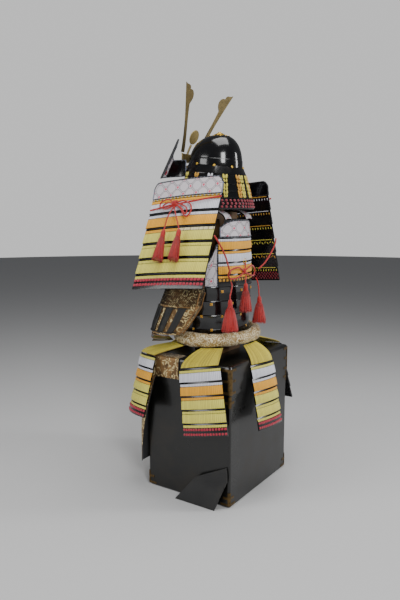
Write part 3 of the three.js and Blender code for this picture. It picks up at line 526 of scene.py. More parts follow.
def ellipse(angle: Array, half_width: Array, half_depth: Array, x: Array, y: Array, z: Array) -> Array:
    """Points on level ellipses, with the angle in degrees."""
    turn = np.radians(angle)
    return np.stack(
        np.broadcast_arrays(x + half_width * np.cos(turn), y + half_depth * np.sin(turn), z), axis=-1)


def ease(value: Array, low: float, high: float) -> Array:
    """Nothing below low, one above high and smooth between."""
    u = np.clip((value - low) / (high - low), 0, 1)
    return u * u * (3 - 2 * u)


def normal_of(surface: Surface, s: Array, t: Array) -> Array:
    """The outward direction of a surface, from s across and t down."""
    h = 1e-3
    across = surface(s + h, t, 0 * s) - surface(s - h, t, 0 * s)
    down = surface(s, t + h, 0 * s) - surface(s, t - h, 0 * s)
    return unit(np.cross(down, across))


def level_rows(places: Array) -> list[tuple[float, float]]:
    """Rows at these places down a wall, with no rise."""
    return [(t, 0.0) for t in places]


@dataclass
class Marks:
    """Where small repeated things sit: their places, the way out and the way along."""

    places: Array
    normals: Array
    along: Array

    @classmethod
    def on(
            cls, surface: Surface, spots: Iterable[tuple[float, float]], lift: float,
            inward: bool = False) -> "Marks":
        """Sets marks on a surface.

        Args:
            surface: The surface.
            spots: s and t of each mark.
            lift: How far each stands off, in mm.
            inward: Whether they sit on the inner side.

        Returns:
            The marks.
        """
        pairs = np.asarray(list(spots), float)
        s, t = pairs[:, 0], pairs[:, 1]
        h = 1e-3
        along = unit(surface(s + h, t, 0 * s) - surface(s - h, t, 0 * s))
        out = normal_of(surface, s, t)
        sign = -1.0 if inward else 1.0
        return cls(surface(s, t, 0 * s) + sign * lift * out, sign * out, along)

    def turned(self, degrees: float) -> "Marks":
        """The same marks, each turned round its own normal."""
        side = np.cross(self.normals, self.along)
        turn = math.radians(degrees)
        return Marks(self.places, self.normals, self.along * math.cos(turn) + side * math.sin(turn))

    def joined(self, other: "Marks") -> "Marks":
        """These marks and others together."""
        return Marks(
            np.vstack([self.places, other.places]), np.vstack([self.normals, other.normals]),
            np.vstack([self.along, other.along]))

    def mirrored(self) -> "Marks":
        """The marks on the other side of the figure."""
        flip = np.array([-1.0, 1.0, 1.0])
        return Marks(self.places * flip, self.normals * flip, self.along * flip)


class Draft:
    """Gathers points and faces in mm, and turns them into a piece."""

    def __init__(self) -> None:
        """Starts empty."""
        self.points: list[Array] = []
        self.faces: list[tuple[int, ...]] = []
        self.uvs: list[tuple[float, float]] = []
        self.finish: list[int] = []
        self.count = 0

    def add_points(self, points: Array) -> int:
        """Adds points and gives the number of the first."""
        first = self.count
        self.points.append(points.reshape(-1, 3))
        self.count += len(self.points[-1])
        return first

    def add_face(self, corners: Sequence[int], uv: Sequence[tuple[float, float]], finish: int) -> None:
        """Adds one face with its place on the UV map."""
        self.faces.append(tuple(corners))
        self.uvs.extend(uv)
        self.finish.append(finish)

    def grid(self, points: Array, uv: Array, finish: Array, ring: bool = False, flip: bool = False) -> int:
        """Adds a sheet of faces.

        Args:
            points: Rows by columns by 3.
            uv: Rows by columns by 2, with one more column on a ring.
            finish: The finish number of each face.
            ring: Whether the last column joins the first.
            flip: Whether the faces turn over.

        Returns:
            The number of the first point.
        """
        rows, columns = points.shape[:2]
        first = self.add_points(points)
        for j in range(rows - 1):
            for i in range(columns if ring else columns - 1):
                n = (i + 1) % columns
                corners = [(j, i, i), (j + 1, i, i), (j + 1, n, i + 1), (j, n, i + 1)]
                if flip:
                    corners.reverse()
                self.add_face(
                    [first + a * columns + b for a, b, _ in corners],
                    [tuple(uv[a, c]) for a, _, c in corners], int(finish[j, i]))
        return first

    def strip(self, one: Sequence[int], other: Sequence[int], finish: int, ring: bool = False) -> None:
        """Joins two lines of points of the same length with faces."""
        last = len(one) if ring else len(one) - 1
        for i in range(last):
            n = (i + 1) % len(one)
            self.add_face((one[i], one[n], other[n], other[i]), [(0.0, 0.0)] * 4, finish)

    def wall(
            self, surface: Surface, columns: Array, rows: Sequence[tuple[float, float]], thickness: float,
            size: tuple[float, float], bands: Sequence[int] | Array | None = None,
            relief: Callable[[Array, Array], Array] | None = None,
            shift: Callable[[Array, Array], Array] | None = None, back: int = 0,
            ring: bool = False) -> None:
        """Adds a thin wall over a surface, closed at its edges.

        Args:
            surface: The middle of the wall.
            columns: Places across.
            rows: Places down, each with its rise above the outer side.
            thickness: The wall's own thickness in mm.
            size: Width and length in mm, for the UV map.
            bands: The finish number of each row of faces, or of each face.
            relief: A further rise of the outer side, from s and t.
            shift: A change of t for each point, which makes an edge ragged.
            back: The finish number of the inner side and the edges.
            ring: Whether it closes on itself.
        """
        s, t = np.meshgrid(np.asarray(columns, float), np.array([row[0] for row in rows]))
        rise = np.repeat(np.array([[row[1]] for row in rows]), s.shape[1], axis=1)
        if relief is not None:
            rise = rise + relief(s, t)
        if shift is not None:
            t = t + shift(s, t)
        out = normal_of(surface, s, t)
        middle = surface(s, t, 0 * s)
        outer = middle + out * (thickness / 2 + rise)[..., None]
        inner = middle - out * (thickness / 2)
        uv = np.stack([s * size[0] * MM, t * size[1] * MM], axis=-1)
        if ring:
            uv = np.concatenate([uv, uv[:, :1] + np.array([size[0] * MM, 0.0])], axis=1)
        wide = s.shape[1] if ring else s.shape[1] - 1
        plan = np.zeros(len(rows) - 1, int) if bands is None else np.asarray(bands, int)
        if plan.ndim == 1:
            plan = np.repeat(plan[:, None], wide, axis=1)
        a = self.grid(outer, uv, plan, ring)
        b = self.grid(inner, uv, np.full(plan.shape, back), ring, flip=True)
        r, c = s.shape

        def line(start: int, row: int) -> list[int]:
            """The points of one row."""
            return [start + row * c + i for i in range(c)]

        self.strip(line(a, 0), line(b, 0), back, ring)
        self.strip(line(b, r - 1), line(a, r - 1), back, ring)
        if not ring:
            self.strip([b + j * c for j in range(r)], [a + j * c for j in range(r)], back)
            self.strip([a + j * c + c - 1 for j in range(r)], [b + j * c + c - 1 for j in range(r)], back)

    def tube(
            self, path: Array, radius: float | Array, sides: int = 8, finish: int = 0, flat: float = 1.0,
            closed: bool = False) -> None:
        """Adds a round or flattened tube along a path.

        Args:
            path: The centre line in mm.
            radius: One radius, or one for each point.
            sides: How many sides the section has.
            finish: The finish number.
            flat: The section's thickness as a share of its width.
            closed: Whether the path closes on itself.
        """
        path = np.asarray(path, float)
        radius = np.broadcast_to(np.asarray(radius, float), (len(path),))
        forward = unit(
            np.roll(path, -1, 0) - np.roll(path, 1, 0)) if closed else unit(np.gradient(path, axis=0))
        start = np.array([0.0, 0.0, 1.0]) if abs(forward[0, 2]) < 0.9 else np.array([1.0, 0.0, 0.0])
        side = unit(np.cross(forward[0], start))
        frames = []
        for f in forward:
            side = unit(side - f * np.dot(side, f))
            frames.append(side)
        sides_of = np.array(frames)
        other = np.cross(forward, sides_of)
        turn = 2 * np.pi * np.arange(sides) / sides
        ring = (
            np.cos(turn)[None, :, None] * sides_of[:, None]
            + flat * np.sin(turn)[None, :, None] * other[:, None])
        points = path[:, None] + ring * radius[:, None, None]
        run = np.concatenate([[0], np.cumsum(np.linalg.norm(np.diff(path, axis=0), axis=1))])
        around = np.linspace(0, 2 * np.pi * radius.max(), sides + 1)
        uv = np.stack(np.meshgrid(around, run), axis=-1) * MM
        if closed:
            points = np.concatenate([points, points[:1]])
            uv = np.concatenate([uv, uv[-1:]])
        first = self.grid(points, uv, np.full((len(points) - 1, sides), finish), ring=True, flip=True)
        if not closed:
            last = first + (len(path) - 1) * sides
            self.add_face([first + i for i in reversed(range(sides))], [(0, 0)] * sides, finish)
            self.add_face([last + i for i in range(sides)], [(0, 0)] * sides, finish)

    def spun(
            self, centre: Sequence[float], axis: Sequence[float], profile: Sequence[tuple[float, float]],
            sides: int, finish: int = 0, ripple: Callable[[Array, Array], Array] | None = None) -> None:
        """Adds a turned body.

        Args:
            centre: Where the profile's zero is, in mm.
            axis: The way that the profile runs.
            profile: Distance along and radius, from one closed end to the other.
            sides: How many sides it has.
            finish: The finish number.
            ripple: A change of radius from the angle and the distance along.
        """
        forward = unit(np.asarray(axis, float))
        start = np.array([0.0, 0.0, 1.0]) if abs(forward[2]) < 0.9 else np.array([1.0, 0.0, 0.0])
        side = unit(np.cross(forward, start))
        other = np.cross(forward, side)
        turn = 2 * np.pi * np.arange(sides) / sides
        along, radius = np.array(profile, float).T
        reach = np.repeat(radius[:, None], sides, axis=1)
        if ripple is not None:
            reach = reach + ripple(turn[None, :], along[:, None])
        points = (
            np.asarray(centre, float) + along[:, None, None] * forward
            + reach[..., None] * (np.cos(turn)[:, None] * side + np.sin(turn)[:, None] * other))
        uv = np.stack(np.meshgrid(np.linspace(0, 2 * np.pi * radius.max(), sides + 1), along), axis=-1) * MM
        first = self.grid(points, uv, np.full((len(points) - 1, sides), finish), ring=True, flip=True)
        last = first + (len(points) - 1) * sides
        self.add_face([first + i for i in reversed(range(sides))], [(0, 0)] * sides, finish)
        self.add_face([last + i for i in range(sides)], [(0, 0)] * sides, finish)

    def piece(
            self, name: str, finishes: Sequence[Finish], mirror: bool = False, crease: float = 40.0,
            rounds: int = 0) -> bpy.types.Object:
        """Makes the gathered faces a piece of the armour.

        Args:
            name: The piece's name.
            finishes: The finishes that the numbers stand for.
            mirror: Whether it goes to the other side of the figure.
            crease: The angle past which an edge shows sharp.
            rounds: Subdivision levels.

        Returns:
            The piece, riding on the root.
        """
        points = np.vstack(self.points) * MM
        faces, uvs = self.faces, np.array(self.uvs, np.float32)
        if mirror:
            points = points * np.array([-1.0, 1.0, 1.0])
            turned, at = [], 0
            for face in faces:
                turned.append(uvs[at : at + len(face)][::-1])
                at += len(face)
            faces, uvs = [face[::-1] for face in faces], np.concatenate(turned)
        mesh = bpy.data.meshes.new(name)
        mesh.from_pydata(points.tolist(), [], faces)
        layer = mesh.uv_layers.new(name="UVMap")
        layer.data.foreach_set("uv", uvs.ravel())
        for finish in finishes:
            mesh.materials.append(finish.material())
        mesh.polygons.foreach_set("material_index", self.finish)
        mesh.polygons.foreach_set("use_smooth", [True] * len(faces))
        mesh.update()
        mesh.set_sharp_from_angle(angle=math.radians(crease))
        made = bpy.data.objects.new(name, mesh)
        bpy.context.scene.collection.objects.link(made)
        if rounds:
            finer = made.modifiers.new("Rounding", "SUBSURF")
            finer.levels = finer.render_levels = rounds
        return enrol(made, finishes[0])


def enrol(made: bpy.types.Object, finish: Finish) -> bpy.types.Object:
    """Lets a piece ride on the root."""
    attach(made, "root")
    LOG.info("%s: %d faces", made.name, len(made.data.polygons))
    return made


# ---- what repeats: geometry nodes --------------------------------------------------------------------


class Shape(Enum):
    """The small things that are set in rows."""

    CROSS = "crossed lacing knot"
    PAIR = "pair of lacing cords"
    DOME = "domed rivet"
    BAR = "stitch"
    RING = "ring"


@dataclass
class Repeat:
    """One kind of small thing, set at every mark by Geometry Nodes and made a plain mesh."""

    name: str
    shape: Shape
    finish: Finish
    width: float
    height: float
    depth: float
    seed: int = 3
    uneven: float = 0.06

    def tree(self) -> bpy.types.NodeTree:
        """Builds the tree: the thing itself, one at each mark, turned to its surface, then realised."""
        tree = bpy.data.node_groups.new(f"{self.name} in place", "GeometryNodeTree")
        tree.interface.new_socket("Geometry", in_out="INPUT", socket_type="NodeSocketGeometry")
        for label in ("Width", "Height", "Depth", "Unevenness"):
            tree.interface.new_socket(label, in_out="INPUT", socket_type="NodeSocketFloat")
        tree.interface.new_socket("Seed", in_out="INPUT", socket_type="NodeSocketInt")
        tree.interface.new_socket("Geometry", in_out="OUTPUT", socket_type="NodeSocketGeometry")
        given = add_node(tree, "NodeGroupInput").outputs
        size = add_node(
            tree, "ShaderNodeCombineXYZ", {0: given["Width"], 1: given["Height"], 2: given["Depth"]})
        thing = self.thing(tree, size.outputs[0], given)
        normal = add_node(
            tree, "GeometryNodeInputNamedAttribute", {"Name": "way_out"}, data_type="FLOAT_VECTOR")
        along = add_node(
            tree, "GeometryNodeInputNamedAttribute", {"Name": "way_along"}, data_type="FLOAT_VECTOR")
        upright = add_node(tree, "FunctionNodeAlignRotationToVector", {"Vector": normal}, axis="Z")
        turned = add_node(
            tree, "FunctionNodeAlignRotationToVector", {"Rotation": upright, "Vector": along}, axis="X",
            pivot_axis="Z")
        least = add_node(tree, "ShaderNodeMath", {0: 1.0, 1: given["Unevenness"]}, operation="SUBTRACT")
        most = add_node(tree, "ShaderNodeMath", {0: 1.0, 1: given["Unevenness"]}, operation="ADD")
        scale = add_node(
            tree, "FunctionNodeRandomValue", {2: least, 3: most, "Seed": given["Seed"]}, data_type="FLOAT")
        placed = add_node(
            tree, "GeometryNodeInstanceOnPoints",
            {"Points": given["Geometry"], "Instance": thing, "Rotation": turned, "Scale": scale.outputs[1]})
        real = add_node(tree, "GeometryNodeRealizeInstances", {0: placed})
        smooth = add_node(tree, "GeometryNodeSetShadeSmooth", {0: real})
        dressed = add_node(
            tree, "GeometryNodeSetMaterial", {"Geometry": smooth, "Material": self.finish.material()})
        add_node(tree, "NodeGroupOutput", {0: dressed})
        return tree

    def thing(
            self, tree: bpy.types.NodeTree, size: bpy.types.NodeSocket,
            given: bpy.types.bpy_prop_collection) -> bpy.types.NodeSocket:
        """Makes one of the small things, lying in X and Y and rising along Z."""
        if self.shape is Shape.RING:
            line = add_node(
                tree, "GeometryNodeCurvePrimitiveCircle", {"Resolution": 12, "Radius": given["Width"]},
                mode="RADIUS")
            wire = add_node(
                tree, "GeometryNodeCurvePrimitiveCircle", {"Resolution": 5, "Radius": given["Depth"]},
                mode="RADIUS")
            ring = add_node(tree, "GeometryNodeCurveToMesh", {"Curve": line, "Profile Curve": wire})
            return ring.outputs[0]
        ball = add_node(tree, "GeometryNodeMeshUVSphere", {"Segments": 10, "Rings": 6, "Radius": 0.5})
        if self.shape is Shape.CROSS:
            turns = ((0.0, 0.0, 0.72), (0.0, 0.0, -0.72))
            offsets = ((0.0, 0.0, 0.0), (0.0, 0.0, 0.0))
        elif self.shape is Shape.PAIR:
            turns = ((0.0, 0.0, 0.16), (0.0, 0.0, -0.16))
            offsets = ((-0.55, 0.0, 0.0), (0.55, 0.0, 0.0))
        else:
            turns, offsets = ((0.0, 0.0, 0.0),), ((0.0, 0.0, 0.0),)
        parts = []
        for turn, offset in zip(turns, offsets):
            place = add_node(tree, "ShaderNodeVectorMath", {0: size, 1: offset}, operation="MULTIPLY")
            part = add_node(
                tree, "GeometryNodeTransform",
                {"Geometry": ball, "Translation": place, "Rotation": turn, "Scale": size})
            parts.append(part.outputs[0])
        group = add_node(tree, "GeometryNodeJoinGeometry")
        for part in parts:
            tree.links.new(part, group.inputs[0])
        return group.outputs[0]

    def set_at(self, marks: Marks) -> bpy.types.Object:
        """Sets the things at the marks.

        Args:
            marks: Their places and directions in mm.

        Returns:
            One piece holding them all.
        """
        points = bpy.data.meshes.new(f"{self.name} marks")
        points.from_pydata((marks.places * MM).tolist(), [], [])
        for label, values in (("way_out", marks.normals), ("way_along", marks.along)):
            points.attributes.new(label, "FLOAT_VECTOR", "POINT").data.foreach_set(
                "vector", values.astype(np.float32).ravel())
        made = bpy.data.objects.new(self.name, points)
        bpy.context.scene.collection.objects.link(made)
        nodes = made.modifiers.new("Repeat", "NODES")
        nodes.node_group = self.tree()
        sizes = {
            "Width": self.width * MM, "Height": self.height * MM, "Depth": self.depth * MM,
            "Unevenness": self.uneven, "Seed": self.seed}
        for socket in nodes.node_group.interface.items_tree:
            if socket.in_out == "INPUT" and socket.name in sizes:
                nodes[socket.identifier] = sizes[socket.name]
        result = bpy.data.meshes.new_from_object(made.evaluated_get(bpy.context.evaluated_depsgraph_get()))
        made.modifiers.clear()
        for label in ("way_out", "way_along"):
            if label in result.attributes:
                result.attributes.remove(result.attributes[label])
        made.data = result
        if not result.materials:
            result.materials.append(self.finish.material())
        return enrol(made, self.finish)


# ---- lacing ------------------------------------------------------------------------------------------


class Band(Enum):
    """The colours of close lacing, in the order of their finish numbers."""

    LACQUER = 0
    YELLOW = 1
    ORANGE = 2
    WHITE = 3
    SPECKLED = 4


BAND_FINISHES: tuple[Finish, ...] = (LAME_BLACK, YELLOW, ORANGE, WHITE, SPECKLED)


@dataclass(frozen=True)
class Lame:
    """One laced lame: its narrow band, its wide band, or rows of crossed knots in its place."""

    narrow: Band
    wide: Band | None
    rear: Band | None = None


@dataclass(frozen=True)
class HangingFace:
    """The surface of a panel that hangs facing one way, from the middle of its top edge."""

    x: float
    y: float
    z: float
    facing: float
    lean: float
    slant: float
    top_width: float
    bottom_width: float
    length: float
    bow: float

    def __call__(self, s: Array, t: Array, lift: Array | float = 0.0) -> Array:
        """A point at s across and t down, lifted off the face."""
        turn, lean, tilt = (math.radians(a) for a in (self.facing, self.lean, self.slant))
        out = np.array([math.cos(turn), math.sin(turn), 0.0])
        side = np.array([-math.sin(turn), math.cos(turn), 0.0])
        fall = np.array([0, 0, -math.cos(lean)]) + out * math.sin(lean)
        across = side * math.cos(tilt) - fall * math.sin(tilt)
        along = fall * math.cos(tilt) + side * math.sin(tilt)
        normal = np.cross(along, across)
        u = 2 * np.asarray(s, float) - 1
        width = self.top_width + (self.bottom_width - self.top_width) * t
        rise = self.bow * (1 - u * u) + lift
        return (
            np.array([self.x, self.y, self.z]) + (u * width / 2)[..., None] * across
            + (np.asarray(t) * self.length)[..., None] * along + rise[..., None] * normal)


@dataclass
class Lacing:
    """Close-laced lames over a surface: lacquered heads, a narrow and a wide band of upright cords."""

    surface: Surface
    lames: Sequence[Lame]
    width: float
    length: float
    swell: float
    cord: float = 7.2
    thickness: float = 3.0

    def row_plan(self) -> tuple[list[tuple[float, float]], list[tuple[int, int]], list[tuple[bool, float]]]:
        """Works out each row down the panel: its place and rise, the finishes below it, and whether it
        is raised into cords and how ragged it is."""
        count = len(self.lames)
        rows: list[tuple[float, float]] = []
        bands: list[tuple[int, int]] = []
        marks: list[tuple[bool, float]] = []
        for i, lame in enumerate(self.lames):
            narrow, rear = lame.narrow.value, (lame.rear or lame.narrow).value
            cut = [
                (0.0, 0.0, 0, 0, False, 0.0), (0.14, 0.0, 0, 0, False, 0.0),
                (0.15, 0.4, narrow, rear, False, 0.0), (0.18, 1.7, narrow, rear, True, 0.0),
                (0.30, 1.7, narrow, rear, True, 0.4), (0.33, 0.2, 0, 0, False, 1.0)]
            if lame.wide is None:
                cut += [
                    (0.36, 0.2, 0, 0, False, 0.0), (0.97, 0.4, 0, 0, False, 0.0),
                    (1.0, -0.6, 0, 0, False, 0.0)]
            else:
                w = lame.wide.value
                cut += [
                    (0.36, 0.2, w, w, False, 0.8), (0.39, 1.8, w, w, True, 0.2),
                    (0.66, 2.4, w, w, True, 0.0), (0.95, 2.2, w, w, True, 0.0),
                    (0.99, 1.3, 0, 0, False, 0.0)]
            for k, (at, rise, a, b, raised, ragged) in enumerate(cut):
                shelf = 0.012 if k == 0 and i > 0 else 0.0
                rows.append(((i + at) / count + shelf / count, self.swell * at + rise))
                bands.append((a, b))
                marks.append((raised, ragged))
        if self.lames[-1].wide is not None:
            rows.append((1.0, self.swell * 0.6))
            bands.append((0, 0))
            marks.append((False, 0.0))
        return rows, bands[:-1], marks

    def build(self, name: str, mirror: bool = False) -> bpy.types.Object:
        """Builds the panel.

        Args:
            name: The piece's name.
            mirror: Whether it goes to the other side.

        Returns:
            The panel.
        """
        cords = round(self.width / self.cord)
        columns = np.linspace(0, 1, 4 * cords + 1)
        rows, bands, marks = self.row_plan()
        phase = (np.arange(len(columns)) % 4)
        ridge = np.choose(phase, [-0.95, 0.0, 0.12, 0.0])
        tooth = np.choose(phase, [0.0, 0.5, 1.0, 0.5])
        raised = np.array([1.0 if mark[0] else 0.0 for mark in marks])
        ragged = np.array([mark[1] for mark in marks]) * 1.6 / self.length
        plan = np.array([[a if (i + 0.5) < 2 * cords else b for i in range(4 * cords)] for a, b in bands])
        draft = Draft()
        draft.wall(
            self.surface, columns, rows, self.thickness, (cords * self.cord, self.length), plan,
            relief=lambda s, t: raised[:, None] * ridge[None, :], shift=lambda s,
            t: ragged[:, None] * (tooth[None, :] - 0.5))
        return draft.piece(name, BAND_FINISHES, mirror, crease=50)

    def knot_marks(self, rows: Sequence[float], spacing: float, lift: float, inset: float = 0.5) -> Marks:
        """Marks for rows of crossed knots, with each row's place down the whole panel."""
        count = round(self.width / spacing)
        return Marks.on(self.surface, [((i + inset) / count, t) for t in rows for i in range(count)], lift)


# ---- chest and stand ---------------------------------------------------------------------------------


def dress(node: str, finish: Finish) -> None:
    """Gives a carried-over solid its finish."""
    solid = bpy.data.objects[node] if node in bpy.data.objects else None
    if solid is None:
        raise KeyError(node)
    solid.data.materials.clear()
    solid.data.materials.append(finish.material())


@dataclass
class ArmourChest:
    """The chest with its lid, and the iron fittings at its corners."""

    width: float = 486.0
    depth: float = 401.0
    height: float = 560.0
    lid: float = 112.0
    round: float = 9.0
    inset: float = 3.5

    def corner(self, out: float, reach: float, low: float, high: float, sx: int, sy: int) -> Surface:
        """A strip bent round one upright corner, `reach` long on each face."""
        half_x, half_y = self.width / 2 + out, self.depth / 2 + out
        radius = self.round + out
        arc = math.pi / 2 * radius

        def surface(s: Array, t: Array, lift: Array | float = 0.0) -> Array:
            """The surface at s across and t down, raised by lift."""
            run = (s if sx * sy > 0 else 1 - s) * (2 * reach + arc)
            turn = np.clip((run - reach) / radius, 0, math.pi / 2)
            x = half_x - radius + radius * np.cos(turn) - np.maximum(run - reach - arc, 0)
            y = half_y - radius + radius * np.sin(turn) - np.maximum(reach - run, 0)
            return np.stack(np.broadcast_arrays(sx * x, sy * y, high - t * (high - low)), axis=-1)

        return surface

    def fittings(self) -> bpy.types.Object:
        """Thin iron plates round the four upright corners: straps across and a strip along the edge."""
        draft = Draft()
        seam = self.height - self.lid
        below = -self.inset
        plates = [
            (self.height - 20, self.height - 9, 30.0, 0.9), (self.height - 62, self.height - 52, 26.0, 0.9),
            (seam + 5, seam + 15, 26.0, 0.9), (seam + 2, self.height - 9, 3.0, 1.0),
            (seam - 34, seam - 24, 22.0, below + 0.9), (seam - 48, seam - 4, 3.0, below + 1.0),
            (34.0, 44.0, 24.0, below + 0.9), (8.0, 17.0, 34.0, below + 0.9), (8.0, 62.0, 3.0, below + 1.0)]
        for low, high, reach, out in plates:
            for sx in (1, -1):
                for sy in (1, -1):
                    draft.wall(
                        self.corner(out, reach, low, high, sx, sy), np.linspace(0, 1, 15),
                        [(0.0, -0.4), (0.12, 0.0), (0.88, 0.0), (1.0, -0.4)], 1.3, (2 * reach, high - low))
        return draft.piece("chest_fittings", [IRON])

    def build(self) -> None:
        """Dresses the chest and adds its fittings."""
        for node in ("chest_body", "chest_lid"):
            dress(node, CHEST_BLACK)
        dress(
            "chest_foot_board",
            Lacquer(
                "urushi lacquer on a loose board", "black_lacquer", colour="#101010", rubbed="#2c2618",
                roughness=0.34, coat=0.2, wear=0.4, patch=70.0))
        dress("stand_frame", WOOD)
        self.fittings()


# ---- cuirass -----------------------------------------------------------------------------------------


@dataclass
class Cuirass:
    """The waist shell, the laced breast and back, the leather-faced boards, side plates and straps."""

    heights: tuple[float, ...] = (612, 700, 760, 841, 1034, 1098)
    half_widths: tuple[float, ...] = (156, 155, 160, 165, 160, 150)
    half_depths: tuple[float, ...] = (119, 119, 121, 125, 120, 112)
    waist_top: float = 841.0
    lames_top: float = 1034.0

    def at(self, angle: Array, z: Array, out: Array | float = 0.0) -> Array:
        """A point on the cuirass at an angle and a height."""
        width = np.interp(z, self.heights, self.half_widths) + out
        depth = np.interp(z, self.heights, self.half_depths) + out
        return ellipse(angle, width, depth, 0.0, FIGURE_Y, z)

    def stretch(self, middle: float, half: float, top: float, bottom: float, out: float = 0.0) -> Surface:
        """The cuirass between two angles and two heights as a surface."""
        return lambda s, t, lift=0.0: self.at(
            middle - half + 2 * half * s, top + (bottom - top) * t, out + lift)

    def waist(self) -> None:
        """Four lacquered lames, each with a rounded upper lip over the one above, and its gilt knots."""
        rows: list[tuple[float, float]] = []
        for i in range(4):
            cut = [(0.0, 2.6), (0.03, 3.4), (0.07, 3.0), (0.13, 1.2), (0.5, 0.7), (0.97, 0.2)]
            rows += [((i + at) / 4, rise) for at, rise in cut]
        rows.append((1.0, 0.2))
        draft = Draft()

        def surface(s: Array, t: Array, lift: Array | float = 0.0) -> Array:
            """The waist shell, s round it and t down it."""
            return self.at(360 * s, self.waist_top + (612 - self.waist_top) * t, lift)

        draft.wall(surface, np.arange(144) / 144, rows, 3.0, (890, 229), ring=True)
        shell = draft.piece("waist_shell_lames", [BLACK], crease=28)
        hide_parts("waist_shell")
        spots = []
        for z, first in ((822, 10.5), (772, 28.5), (722, 10.5), (668, 28.5)):
            spots += [
                ((first + 36 * k) / 360, (self.waist_top - z) / (self.waist_top - 612)) for k in range(10)]
        marks = Marks.on(surface, spots, 3.2)
        Repeat("waist_knots", Shape.CROSS, GOLD_THREAD, 15, 8.5, 5.5).set_at(marks)

    def laced(self) -> None:
        """The four laced lames of the back and of the breast."""
        lames = [
            Lame(Band.WHITE, Band.ORANGE), Lame(Band.ORANGE, Band.WHITE), Lame(Band.WHITE, Band.ORANGE),
            Lame(Band.ORANGE, None)]
        for name, middle in (("back", 90.0), ("front", -90.0)):
            surface = self.stretch(middle, 50, self.lames_top, self.waist_top + 0.4)
            lacing = Lacing(surface, lames, 232, self.lames_top - self.waist_top, 3.0)
            panel = lacing.build(f"{name}_laced_lames")
            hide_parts(f"{name}_lames")
            marks = lacing.knot_marks([0.875], 13.5, 3.2)
            Repeat(f"{name}_lame_knots", Shape.CROSS, GOLD_THREAD, 12.5, 8.0, 5.0).set_at(marks)

    def board(self, name: str, middle: float, height: float, half: float) -> None:
        """A leather-faced board with rounded upper corners, and its stitched edge."""
        bottom = self.lames_top + 0.4

        def surface(s: Array, t: Array, lift: Array | float = 0.0) -> Array:
            """The surface at s across and t down, raised by lift."""
            side = 2 * s - 1
            top = bottom + height * (1 - 0.45 * np.abs(side) ** 4)
            return self.at(middle + half * side, top + (bottom - top) * t, 1.0 + lift)

        self.leather_plate(
            f"{name}_board_leather", surface, (2 * half * 2.35, height), 5.0, f"{name}_board")

    def leather_plate(
            self, name: str, surface: Surface, size: tuple[float, float], thickness: float, node: str,
            mirror: bool = False) -> None:
        """A plate with a stencilled face and a bound edge of dark braid with pale stitches."""
        draft = Draft()
        draft.wall(
            surface, np.linspace(0, 1, 33), level_rows(np.linspace(0, 1, 9)), thickness, size,
            back=1)
        plate = draft.piece(name, [LEATHER, BLACK], mirror)
        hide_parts(node)
        bind_edge(f"{name}_edge", surface, size, thickness, mirror)

    def side_plates(self) -> None:
        """The plates under the arms, low in the middle."""
        bottom = self.waist_top + 0.4

        def surface(s: Array, t: Array, lift: Array | float = 0.0) -> Array:
            """The surface at s across and t down, raised by lift."""
            side = 2 * s - 1
            top = 890 + (1010 - 890) * side * side
            return self.at(38.5 * side, top + (bottom - top) * t, lift)

        for name, mirror in SIDES:
            self.leather_plate(
                f"side_plate_{name}_leather", surface, (205, 110), 3.0, f"side_plate_{name}", mirror)

    def straps(self) -> None:
        """Padded straps over the shoulders, leather faced, with a rolled edge."""
        route = smooth_path(
            [
                (82, 88, 1104), (82, 76, 1123), (82, 44, 1136), (82, FIGURE_Y, 1140.5), (82, -62, 1134),
                (82, -94, 1112), (82, -107, 1084)],
            241)

        def surface(s: Array, t: Array, lift: Array | float = 0.0) -> Array:
            """The surface at s across and t down, raised by lift."""
            where = np.clip(t, 0, 1) * 240
            spine = np.stack([np.interp(where, np.arange(241), route[:, k]) for k in range(3)], axis=-1)
            return spine + np.stack([45 * (s - 0.5), 0 * s, -3.0 * np.abs(2 * s - 1) ** 3], axis=-1)

        for name, mirror in SIDES:
            draft = Draft()
            draft.wall(
                surface, np.linspace(0, 1, 13), level_rows(np.linspace(0.004, 0.996, 49)), 6.0,
                (45, 250), back=1)
            strap = draft.piece(f"shoulder_strap_{name}_padded", [LEATHER, BLACK], mirror)
            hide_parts(f"shoulder_strap_{name}")

    def build(self) -> None:
        """Builds the whole cuirass."""
        self.waist()
        self.laced()
        self.board("back", 90, 64, 47)
        self.board("front", -90, 44, 34)
        self.side_plates()
        self.straps()


def edge_line(
        surface: Surface, thickness: float, out: float, count: int, top: float = 0.0,
        bottom: float = 1.0) -> tuple[Array, Array]:
    """The line round a plate's rim, a little outside it, and the way out at each point."""
    turn = np.linspace(0, 4, count, endpoint=False)
    side, u = turn.astype(int), turn % 1
    s = np.choose(side, [u, 1 + 0 * u, 1 - u, 0 * u])
    t = np.choose(side, [0 * u, u, 1 + 0 * u, 1 - u])
    t = top + (bottom - top) * t
    return surface(s, t, 0 * s), normal_of(surface, s, t)


def bind_edge(
        name: str, surface: Surface, size: tuple[float, float], thickness: float, mirror: bool) -> None:
    """Binds a plate's rim with dark braid and pale slanting stitches."""
    around = 2 * (size[0] + size[1])
    line, out = edge_line(surface, thickness, 0.0, max(48, int(around / 5)))
    draft = Draft()
    draft.tube(line + out * 0.6, thickness * 0.75, 8, closed=True)
    draft.piece(f"{name}_braid", [EDGE_DARK], mirror)
    line, out = edge_line(surface, thickness, 0.0, int(around / 9))
    along = unit(np.roll(line, -1, 0) - line)
    marks = Marks(line + out * thickness * 0.75, out, along).turned(35)
    if mirror:
        marks = marks.mirrored()
    Repeat(f"{name}_stitches", Shape.BAR, EDGE_PALE, 8.5, 2.4, 2.2).set_at(marks)


